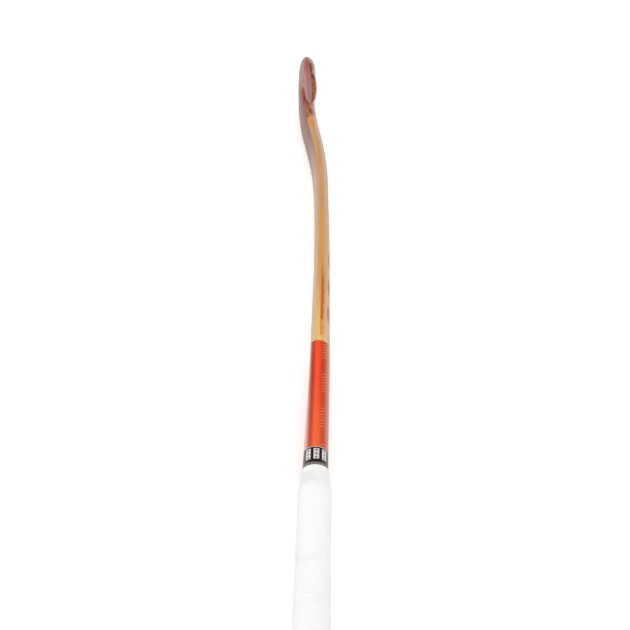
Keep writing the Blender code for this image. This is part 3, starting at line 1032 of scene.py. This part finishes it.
@dataclass(frozen=True)
class SoftTape:
    """White wound tape with a fine soft grain."""

    white: Colour = screen(250, 250, 249)
    shade: Colour = screen(238, 236, 235)

    def material(self) -> bpy.types.Material:
        """Build the tape's nodes.

        Returns:
            The material.
        """
        shader = Shader("grip_tape")
        spot = shader.place()
        grain = shader.noise(spot, 2200.0, 4.0, 0.6)
        dimples = shader.noise(spot, 160.0, 3.0)
        soil = shader.noise(spot, 38.0, 4.0)
        colour = shader.blend(shader.between(soil, 0.5, 0.9), self.white, self.shade)
        height = shader.math("MULTIPLY_ADD", dimples, 2.0, grain)
        return shader.finish(
            Base_Color=colour, Roughness=shader.math("MULTIPLY_ADD", grain, 0.15, 0.62),
            Sheen_Weight=0.15, Sheen_Roughness=0.5, Specular_IOR_Level=0.4,
            Normal=shader.bump(height, 0.00012))


@dataclass(frozen=True)
class Grained:
    """A plain stuff with a fine surface grain, stretched if it has fibres."""

    name: str
    light: Colour
    dark: Colour
    rough: float
    scale: Triple
    depth: float
    coat: float = 0.0

    def material(self) -> bpy.types.Material:
        """Build the stuff's nodes.

        Returns:
            The material.
        """
        shader = Shader(self.name)
        grain = shader.noise(shader.stretch(shader.place(), self.scale), 1.0, 4.0, 0.6)
        colour = shader.blend(shader.between(grain, 0.3, 0.7), self.light, self.dark)
        rough = shader.math("MULTIPLY_ADD", grain, 0.12, self.rough)
        return shader.finish(
            Base_Color=colour, Roughness=rough, Coat_Weight=self.coat,
            Normal=shader.bump(grain, self.depth))


@dataclass(frozen=True)
class Blade:
    """The laminated wood of the head and shaft, and its two painted skins."""

    form: StickForm
    laminations: int = 6
    shaft_step: float = 0.006
    hook_steps: int = 64
    toe_steps: int = 28
    arc_steps: int = 9
    flats: tuple[float, ...] = (0.0, 0.5, 0.92)
    glue_line: float = 0.00007
    splice_top: float = 0.302
    splice_tip: float = 0.424
    splice_leg: float = 0.0022
    splice_tip_half: float = 0.0026
    reach: float = 0.040
    overrun: float = 0.006
    chamfer: float = 0.00012
    straight_steps: int = 5
    face_edge_steps: int = 6
    back_edge_steps: int = 8
    tints: tuple[float, ...] = (0.06, -0.10, 0.14, -0.05, 0.10, 0.0)

    def stations(self, start: float) -> list[float]:
        """Distances along the centre line from the start of a piece to the toe.

        Args:
            start: Where the piece starts.

        Returns:
            The distances.
        """
        form = self.form
        hook = arc(form.hook_start, form.hook_stop, self.hook_steps)[:-1]
        toe = arc(form.hook_stop, form.toe_centre, self.straight_steps)
        return spread(start, form.hook_start, self.shaft_step) + hook + toe

    def round_the_toe(self, bm: bmesh.types.BMesh, stations: list[float],
                      ring_at: Callable[[float, int], list[tuple[float, float]]]) -> None:
        """Lay a half cross-section down one side, round the toe and back.

        Args:
            bm: The mesh that gets the surface.
            stations: Distances along the centre line.
            ring_at: Gives the half cross-section at a distance and its number.
        """
        form = self.form
        last = len(stations) - 1
        columns = [(index, -RIGHT_ANGLE) for index in range(last + 1)]
        columns += [(last, math.pi * i / self.toe_steps - RIGHT_ANGLE) for i in range(1, self.toe_steps)]
        columns += [(index, RIGHT_ANGLE) for index in range(last, -1, -1)]
        stretch = form.toe_round / form.half_width(form.toe_centre)
        points: list[list[Vector]] = []
        for index, angle in columns:
            s = stations[index]
            along = stretch * math.cos(angle) if abs(angle) < RIGHT_ANGLE else 0.0
            ring = ring_at(s, index)
            points.append([form.place(s + u * along, u * math.sin(angle), x) for u, x in ring])
        mapped_grid(bm, len(points) - 1, len(points[0]) - 1, lambda column, row: points[column][row])

    def arc_points(self, s: float, on_face: bool, end: float, inset: float) -> list[tuple[float, float]]:
        """Half of one side of the cross-section, from its middle to an angle.

        Args:
            s: Distance along the centre line.
            on_face: True for the face, False for the back.
            end: Angle of the last point.
            inset: Depth under the surface.

        Returns:
            Places across and through the stick, as (u, x).
        """
        steps = [SectionStep(1, on_face, flat, 0.0) for flat in self.flats]
        steps += [SectionStep(1, on_face, 1.0, angle) for angle in arc(0.0, end, self.arc_steps)]
        return [self.form.section(s, step, inset) for step in steps]

    def wood_ring(self, s: float, bare: float, covered: float) -> list[tuple[float, float]]:
        """Half cross-section of the wood, bare at the edge and sunk under the skins.

        Args:
            s: Distance along the centre line.
            bare: Depth of the bare edge.
            covered: Depth under the skins.

        Returns:
            Places across and through the stick, as (u, x).
        """
        form = self.form
        face_edge = form.paint_edge(s, True)
        face_lean = form.gap_angle(s, True, face_edge, self.glue_line)
        back_lean = form.gap_angle(s, False, form.back_edge, self.glue_line)
        ring = self.arc_points(s, True, face_edge, covered)
        for angle in arc(face_edge + face_lean, RIGHT_ANGLE, self.face_edge_steps):
            ring.append(form.section(s, SectionStep(1, True, 1.0, angle), bare))
        for angle in arc(RIGHT_ANGLE, form.back_edge + back_lean, self.back_edge_steps)[1:]:
            ring.append(form.section(s, SectionStep(1, False, 1.0, angle), bare))
        return ring + list(reversed(self.arc_points(s, False, form.back_edge, covered)))

    def wood(self) -> Thing:
        """The whole blank, before its splice is cut out and it is sawn.

        Returns:
            The blank.
        """
        form = self.form
        shoulder = form.band_end + form.clearance
        spliced = spread(self.splice_top + form.clearance, shoulder, 0.012) + [shoulder]
        stations = spliced + self.stations(shoulder)

        def ring_at(s: float, index: int) -> list[tuple[float, float]]:
            """Half cross-section of the blank at a station.

            Args:
                s: Distance along the centre line.
                index: The station's number.

            Returns:
                Places across and through the stick, as (u, x).
            """
            under_sleeves = index < len(spliced)
            bare = form.core_inset if under_sleeves else 0.0
            covered = form.core_inset if under_sleeves else form.skin + self.glue_line
            return self.wood_ring(s, bare, covered)

        bm = bmesh.new()
        self.round_the_toe(bm, stations, ring_at)
        close_up(bm)
        return put("blank", new_mesh(bm, "blank"))

    def splice(self) -> Thing:
        """The V cut for the cane wedge, with its clearance.

        Returns:
            The cutter.
        """
        form = self.form
        top_half = form.half_width(self.splice_top) - form.core_inset - self.splice_leg
        run = self.splice_tip - self.splice_top
        slope = (top_half - self.splice_tip_half) / run
        start, end = self.splice_top - self.reach, self.splice_tip + form.clearance
        bm = bmesh.new()
        bmesh.ops.create_cube(bm, size=2.0)
        for vert in bm.verts:
            y = start if vert.co.y < 0 else end
            half = self.splice_tip_half + slope * (self.splice_tip - y) + form.clearance
            vert.co = (vert.co.x * self.reach, y, math.copysign(half, vert.co.z))
        return put("splice_cut", new_mesh(bm, "splice_cut"))

    def saw(self, index: int) -> Thing:
        """A bent strip that takes one lamination out of the blank.

        Args:
            index: Which lamination, from the heel side.

        Returns:
            The cutter.
        """
        form = self.form
        middle = self.laminations / 2
        stations = [self.splice_top - self.reach] + self.stations(self.splice_top)
        stations.append(form.toe_centre + form.toe_round + self.reach)

        def corner(column: int, row: int) -> Vector:
            """A corner of the strip at a station.

            Args:
                column: How many steps round the grid.
                row: How many steps along it.

            Returns:
                The point.
            """
            s = stations[row]
            half = form.half_width(s)
            low = (index - middle) / middle * half + self.glue_line / 2
            high = (index + 1 - middle) / middle * half - self.glue_line / 2
            low -= self.overrun if index == 0 else 0.0
            high += self.overrun if index == self.laminations - 1 else 0.0
            u = (low, high, high, low)[column % 4]
            x = (-1, -1, 1, 1)[column % 4] * self.reach
            return form.place(s, u, x)

        bm = bmesh.new()
        mapped_grid(bm, 4, len(stations) - 1, corner)
        close_up(bm)
        return put(f"saw_{index}", new_mesh(bm, f"saw_{index}"))

    def cut(self, source: Thing, cutter: Thing, operation: str, name: str) -> bpy.types.Mesh:
        """The mesh that a Boolean of two objects gives.

        Args:
            source: The object that is cut, which stays as it is.
            cutter: The object that cuts it.
            operation: The Boolean's operation.
            name: The new mesh's name.

        Returns:
            The cut mesh, with its doubles merged.
        """
        tool = source.modifiers.new("cut", "BOOLEAN")
        tool.operation, tool.object, tool.solver = operation, cutter, "EXACT"
        graph = bpy.context.evaluated_depsgraph_get()
        mesh = bpy.data.meshes.new_from_object(source.evaluated_get(graph))
        source.modifiers.remove(tool)
        mesh.name = name
        bm = bmesh.new()
        bm.from_mesh(mesh)
        bmesh.ops.remove_doubles(bm, verts=bm.verts, dist=MERGE)
        bm.to_mesh(mesh)
        bm.free()
        mesh.shade_smooth()
        mesh.set_sharp_from_angle(angle=SHARP)
        return mesh

    def build_wood(self) -> None:
        """Saw the blank into its laminations."""
        blank = self.wood()
        splice = self.splice()
        spliced = put("spliced", self.cut(blank, splice, "DIFFERENCE", "spliced"))
        for index in range(self.laminations):
            node = f"lamination_{index + 1}"
            node += {0: "_heel", self.laminations - 1: "_throat"}.get(index, "")
            saw = self.saw(index)
            mesh = self.cut(spliced, saw, "INTERSECT", f"wood_{node}")
            bpy.data.objects.remove(saw)
            lay_grain(mesh, self.form)
            show(mesh, Mulberry(tint=self.tints[index]).material(), "mulberry", node)
        for spare in (blank, splice, spliced):
            bpy.data.objects.remove(spare)

    def skin_ring(self, s: float, on_face: bool) -> list[tuple[float, float]]:
        """Half cross-section of a skin, out along its top and back underneath.

        Args:
            s: Distance along the centre line.
            on_face: True for the face, False for the back.

        Returns:
            Places across and through the stick, as (u, x).
        """
        form = self.form
        edge = form.paint_edge(s, on_face)
        last = edge - form.gap_angle(s, on_face, edge, self.glue_line)
        turned = last - form.gap_angle(s, on_face, edge, self.chamfer)
        ring = self.arc_points(s, on_face, turned, 0.0)
        ring.append(form.section(s, SectionStep(1, on_face, 1.0, last), self.chamfer))
        return ring + list(reversed(self.arc_points(s, on_face, last, form.skin)))

    def build_skins(self) -> None:
        """The painted skins on the flat face and the rounded back."""
        form = self.form
        stations = self.stations(form.band_end + form.clearance)
        for motif in Motif:
            on_face = motif is Motif.FACE
            bm = bmesh.new()
            self.round_the_toe(bm, stations, lambda s, _, on_face=on_face: self.skin_ring(s, on_face))
            close_up(bm)
            mesh = new_mesh(bm, f"painted_{motif.value}")
            lay_grain(mesh, form)
            slot = f"{motif.value}_lacquer"
            show(mesh, Lacquer(motif).material(), slot, f"{motif.value}_skin")


@dataclass(frozen=True)
class Sleeves:
    """The printed band, the label and the finishing tape round the splice."""

    form: StickForm
    film: float = 0.0004
    soft_edge: float = 0.0001
    arc_steps: int = 14
    flats: tuple[float, ...] = (0.0, 0.5, 0.92)
    row_step: float = 0.004

    def tube(self, name: str, start: float, end: float) -> bpy.types.Mesh:
        """A thin tube round the handle with eased edges.

        Args:
            name: The mesh's name.
            start: Distance of its lower end from the butt.
            end: Distance of its upper end.

        Returns:
            The mesh.
        """
        form, soft = self.form, self.soft_edge
        steps = whole_loop(self.arc_steps, self.flats)
        outline = [(start, self.film), (start, soft), (start + soft, 0.0)]
        outline += [(s, 0.0) for s in spread(start + soft, end - soft, self.row_step)[1:]]
        outline += [(end - soft, 0.0), (end, soft), (end, self.film), (start, self.film)]

        def point(column: int, row: int) -> Vector:
            """A point of the tube's surface.

            Args:
                column: How many steps round the grid.
                row: How many steps along it.

            Returns:
                The point.
            """
            s, inset = outline[row]
            u, x = form.section(s, steps[column % len(steps)], inset)
            return form.place(s, u, x)

        bm = bmesh.new()
        mapped_grid(bm, len(steps), len(outline) - 1, point)
        close_up(bm)
        return new_mesh(bm, name)

    def build(self) -> None:
        """Make the three sleeves, from the grip outwards."""
        form = self.form
        ring_start = form.grip_length + form.clearance
        ring_end = ring_start + form.ring_height
        label_start = ring_end + form.clearance
        label_end = label_start + form.label_height
        band_start = label_end + form.clearance
        ring = Grained("finishing_tape", screen(150, 132, 131), screen(112, 94, 94), 0.4,
                       (900.0, 900.0, 900.0), 0.00003, 0.2)
        show(self.tube("end_tape", ring_start, ring_end), ring.material(),
             "finishing_tape", "finishing_tape")
        label = LabelFilm(label_start, label_end)
        show(self.tube("label", label_start, label_end), label.material(), "label_film", "label_band")
        film = PrintedFilm(band_start, form.band_end)
        show(self.tube("red_sleeve", band_start, form.band_end), film.material(),
             "printed_film", "printed_band")


@dataclass(frozen=True)
class Grip:
    """The cushion, the wound tape and the butt cap."""

    form: StickForm
    pitch: float = 0.0362
    edge_on_face: float = 0.2435
    thickness: float = 0.0020
    end_thickness: float = 0.0010
    ridge: float = 0.00014
    swell: float = 0.0016
    cushion_end: float = 0.0007
    stops_short: float = 0.005
    taper_from: float = 0.0270
    taper_to: float = 0.0010
    flare: float = 0.0020
    flare_run: float = 0.200
    cap_floor: float = 0.0042
    cap_skirt: float = 0.020
    cap_round: float = 0.0024
    cap_steps: int = 9
    arc_steps: int = 20
    cushion_step: float = 0.004
    bore_step: float = 0.006
    lip_rise: float = 0.012
    lip_fall: float = 0.38
    tuck_from: float = 0.955
    tuck_run: float = 0.04
    tuck_share: float = 0.22

    @property
    def steps(self) -> list[SectionStep]:
        """Steps once round the handle."""
        return whole_loop(self.arc_steps, (0.0, 0.5))

    def taper(self, y: float) -> float:
        """From 1 along the grip to 0 at its tapered end."""
        top = self.form.grip_length
        return 1.0 - ease(share_of(y, top - self.taper_from, top - self.taper_to))

    def cushion(self, y: float) -> float:
        """Depth of the cushion's outer surface, negative outside the handle."""
        flare = self.flare * (1.0 - ease(y / self.flare_run))
        return mix(self.cushion_end, -self.swell - flare, self.taper(y))

    def tape_inner(self, y: float) -> float:
        """Depth of the tape's inner surface."""
        return self.cushion(y) - self.form.clearance

    def tape_outer(self, y: float, phase: float) -> float:
        """Depth of the tape's outer surface.

        Args:
            y: Distance from the butt.
            phase: How far up its turn of tape, from the lapped edge.

        Returns:
            The depth under the bare handle's surface.
        """
        body = mix(self.end_thickness, self.thickness, self.taper(y))
        lip = ease(phase / self.lip_rise) * (1.0 - ease((phase - self.lip_rise) / self.lip_fall))
        tuck = self.tuck_share * ease((phase - self.tuck_from) / self.tuck_run)
        return self.tape_inner(y) - body - self.ridge * (lip - tuck) * self.taper(y)

    def point(self, y: float, step: SectionStep, inset: float) -> Vector:
        """A point round the handle."""
        u, x = self.form.section(y, step, inset)
        return self.form.place(y, u, x)

    def turned(self, name: str, outline: list[tuple[float, float]]) -> bpy.types.Mesh:
        """A piece of an even outline all round the handle.

        Args:
            name: The mesh's name.
            outline: Places (y, depth), closed where the first comes again.

        Returns:
            The mesh.
        """
        steps = self.steps

        def point(column: int, row: int) -> Vector:
            """A point of the outline at a step round the handle."""
            y, inset = outline[row]
            return self.point(y, steps[column % len(steps)], inset)

        bm = bmesh.new()
        mapped_grid(bm, len(steps), len(outline) - 1, point)
        close_up(bm)
        return new_mesh(bm, name)

    def build_cushion(self) -> None:
        """The foam sleeve under the tape."""
        start = self.cap_skirt + self.form.clearance
        end = self.form.grip_length - self.stops_short
        inner = self.form.core_inset - self.form.clearance
        outline = [(y, self.cushion(y)) for y in spread(start, end, self.cushion_step)]
        outline += [(end, self.cushion(end)), (end, inner), (start, inner), (start, self.cushion(start))]
        foam = Grained("grip_foam", screen(225, 224, 222), screen(205, 204, 202), 0.85,
                       (900.0, 900.0, 900.0), 0.0001)
        show(self.turned("foam_sleeve", outline), foam.material(), "grip_foam", "grip_cushion")

    def build_tape(self) -> None:
        """The tape, each turn lapped over the edge of the one before."""
        steps = self.steps
        columns = len(steps)
        top = self.form.grip_length
        phases = [0.0, 0.004, 0.008, self.lip_rise, 0.03, 0.06] + [0.1 + 0.8 * i / 16 for i in range(17)]
        phases += [0.93, self.tuck_from, 0.975, 0.99]
        rows = len(phases)
        first = math.floor((self.cap_floor - self.edge_on_face) / self.pitch) - 1
        last = math.ceil((top - self.edge_on_face) / self.pitch) + 1

        def point(column: int, row: int) -> Vector:
            """A point of the tape's outer surface, on a row that follows its winding.

            Args:
                column: How many steps round the grid.
                row: How many steps along it.

            Returns:
                The point.
            """
            turn, number = divmod(row, rows)
            rise = first + turn + phases[number] - column / columns
            y = min(max(self.edge_on_face + self.pitch * rise, self.cap_floor), top)
            phase = ((y - self.edge_on_face) / self.pitch + column / columns) % 1.0
            if number == 0 and self.cap_floor < y < top:
                phase = 0.0
            return self.point(y, steps[column % columns], self.tape_outer(y, phase))

        def bore(column: int, row: int) -> Vector:
            """A point of the tape's inner surface."""
            y = inside[row]
            return self.point(y, steps[column % columns], self.tape_inner(y))

        bm = bmesh.new()
        mapped_grid(bm, columns, (last - first) * rows, point)
        inside = spread(self.cap_floor, top, self.bore_step) + [top]
        mapped_grid(bm, columns, len(inside) - 1, bore)
        bmesh.ops.remove_doubles(bm, verts=bm.verts, dist=MERGE)
        for y in (self.cap_floor, top):
            rims = [edge for edge in bm.edges if edge.is_boundary
                    and all(abs(vert.co.y - y) < MERGE for vert in edge.verts)]
            bmesh.ops.bridge_loops(bm, edges=rims)
        close_up(bm)
        show(new_mesh(bm, "wound_tape"), SoftTape().material(), "grip_tape", "grip_tape")

    def build_cap(self) -> None:
        """The moulded cap: a disc with a rounded edge and a skirt over the canes."""
        rim = self.tape_outer(0.0, 0.5)
        seat = self.cap_floor - self.form.clearance
        inner = self.form.core_inset - self.form.clearance
        outline: list[tuple[float, float]] = []
        for angle in arc(0.0, RIGHT_ANGLE, self.cap_steps):
            outline.append((self.cap_round * (1.0 - math.cos(angle)),
                            rim + self.cap_round * (1.0 - math.sin(angle))))
        skirt = self.cap_skirt
        outline += [(seat, rim), (seat, self.cushion(seat))]
        outline += [(skirt, self.cushion(skirt)), (skirt, inner), (self.cap_floor, inner)]
        rubber = Grained("butt_rubber", screen(236, 235, 233), screen(227, 225, 223), 0.55,
                         (2200.0, 2200.0, 2200.0), 0.00003)
        show(self.turned("end_cap", outline), rubber.material(), "butt_rubber", "butt_cap")


@dataclass(frozen=True)
class HandleCore:
    """Finishes for the hidden canes, rubbers and binding, whose CAD shapes stay."""

    cane: Grained = Grained("manau_cane", screen(214, 184, 132), screen(186, 150, 98), 0.55,
                            (1500.0, 14.0, 1500.0), 0.00006)
    rubber: Grained = Grained("spring_rubber", screen(36, 35, 35), screen(24, 24, 24), 0.75,
                              (900.0, 900.0, 900.0), 0.00004)
    thread: Grained = Grained("binding_thread", screen(226, 218, 204), screen(196, 186, 170), 0.7,
                              (60.0, 2600.0, 60.0), 0.00010)

    def dress(self, nodes: dict[str, Thing]) -> None:
        """Give each hidden node its finish.

        Args:
            nodes: The CAD nodes by name.
        """
        cane, rubber, thread = self.cane.material(), self.rubber.material(), self.thread.material()
        for name, node in nodes.items():
            material = None
            if name.startswith("cane_"):
                material = cane
            elif name.startswith("rubber_"):
                material = rubber
            elif name == "splice_binding":
                material = thread
            if material is not None:
                node.data.materials.clear()
                node.data.materials.append(material)
                LOG.info("%s: dressed", name)


@dataclass(frozen=True)
class Lamp:
    """A distant soft lamp, by where it shines from and how many degrees wide it looks."""

    name: str
    source: Triple
    degrees: float
    power: float
    mirrored: bool

    def hang(self) -> None:
        """Put the lamp in the scene."""
        data = bpy.data.lights.new(self.name, "SUN")
        data.energy = self.power
        data.angle = math.radians(self.degrees)
        lamp = put(self.name, data)
        lamp.visible_glossy = self.mirrored
        lamp.rotation_mode = "QUATERNION"
        lamp.rotation_quaternion = (-Vector(self.source)).to_track_quat("-Z", "Y")


@dataclass(frozen=True)
class Studio:
    """Camera, lamps, sky and floor."""

    azimuth: float = math.radians(-2.0)
    elevation: float = math.radians(45.7101)
    roll: float = math.radians(4.5065)
    distance: float = 1.20653
    aim: Triple = (0.0, 0.284, 0.0)
    aim_pixel: tuple[float, float] = (315.4042, 468.1098)
    focal_pixels: float = 1200.0
    image_pixels: float = 630.0
    sensor: float = 36.0
    sky: float = 0.16
    horizon: float = 1.0
    sky_low: float = 0.10
    sky_high: float = 0.60
    floor_size: float = 8.0
    floor_middle: float = 0.45
    floor_seen: float = 0.36
    floor_mirrored: float = 0.24
    lamps: tuple[Lamp, ...] = (
        Lamp("key", (-0.22, -0.70, 1.0), 80.0, 2.22, False),
        Lamp("fill", (0.45, -0.10, 1.0), 16.0, 0.6, True),
    )

    def camera(self) -> None:
        """Stand the camera where the photograph was taken from."""
        a, e, r = self.azimuth, self.elevation, self.roll
        forward = Vector((-math.sin(a) * math.cos(e), math.cos(a) * math.cos(e), -math.sin(e)))
        level = Vector((math.cos(a), math.sin(a), 0.0))
        rise = level.cross(forward)
        right = math.cos(r) * level + math.sin(r) * rise
        up = -math.sin(r) * level + math.cos(r) * rise
        middle = self.image_pixels / 2
        across = (self.aim_pixel[0] - middle) / self.focal_pixels * self.distance
        above = (middle - self.aim_pixel[1]) / self.focal_pixels * self.distance
        data = bpy.data.cameras.new("camera")
        data.sensor_width = self.sensor
        data.lens = self.sensor * self.focal_pixels / self.image_pixels
        data.clip_start, data.clip_end = 0.01, 50.0
        turn = Matrix((right, up, -forward)).transposed()
        spot = Vector(self.aim) - self.distance * forward - across * right - above * up
        camera = put("camera", data)
        camera.matrix_world = Matrix.Translation(spot) @ turn.to_4x4()
        bpy.context.scene.camera = camera

    def world(self) -> None:
        """A sky that is bright near the horizon, and plain white where it is seen."""
        world = bpy.data.worlds.new("studio")
        world.use_nodes = True
        tree = world.node_tree
        background = tree.nodes["Background"]
        background.inputs["Color"].default_value = (1.0, 1.0, 1.0, 1.0)
        direction = tree.nodes.new("ShaderNodeTexCoord")
        parts = tree.nodes.new("ShaderNodeSeparateXYZ")
        tree.links.new(direction.outputs["Generated"], parts.inputs[0])
        dims = tree.nodes.new("ShaderNodeMapRange")
        dims.inputs["From Min"].default_value = self.sky_low
        dims.inputs["From Max"].default_value = self.sky_high
        dims.inputs["To Min"].default_value = self.horizon
        dims.inputs["To Max"].default_value = self.sky
        tree.links.new(parts.outputs["Z"], dims.inputs["Value"])
        path = tree.nodes.new("ShaderNodeLightPath")
        strength = tree.nodes.new("ShaderNodeMapRange")
        strength.inputs["To Max"].default_value = 1.0
        tree.links.new(path.outputs["Is Camera Ray"], strength.inputs["Value"])
        tree.links.new(dims.outputs[0], strength.inputs["To Min"])
        tree.links.new(strength.outputs[0], background.inputs["Strength"])
        bpy.context.scene.world = world

    def floor(self, height: float) -> None:
        """A plain white floor that keeps the stick's shadow.

        Args:
            height: How high it lies.
        """
        bm = bmesh.new()
        bmesh.ops.create_grid(bm, x_segments=1, y_segments=1, size=self.floor_size / 2)
        bmesh.ops.translate(bm, vec=(0.0, self.floor_middle, height), verts=bm.verts)
        mesh = bpy.data.meshes.new("floor")
        bm.to_mesh(mesh)
        bm.free()
        shader = Shader("floor")
        path = shader.add("ShaderNodeLightPath", {})
        glow = shader.math("MULTIPLY", path.outputs["Is Camera Ray"], self.floor_seen)
        glow = shader.math("MULTIPLY_ADD", path.outputs["Is Glossy Ray"], self.floor_mirrored, glow)
        mesh.materials.append(shader.finish(
            Base_Color=(0.9, 0.9, 0.9), Roughness=0.9, Specular_IOR_Level=0.0,
            Emission_Color=(1.0, 1.0, 1.0), Emission_Strength=glow))
        put("floor", mesh)

    def build(self, height: float) -> None:
        """Set up the studio round the stick.

        Args:
            height: The floor's height.
        """
        self.camera()
        self.world()
        self.floor(height)
        for lamp in self.lamps:
            lamp.hang()
        bpy.context.scene.view_settings.view_transform = "Standard"


def main() -> None:
    """Build every sub-assembly and the studio."""
    logging.basicConfig(level=logging.INFO, format="%(name)s %(message)s")
    form = StickForm()
    Studio().build(CAD_LOW.z)
    blade = Blade(form)
    blade.build_wood()
    blade.build_skins()
    Sleeves(form).build()
    grip = Grip(form)
    grip.build_cushion()
    grip.build_tape()
    grip.build_cap()
    HandleCore().dress(frame["nodes"])


if __name__ == "__main__":
    main()
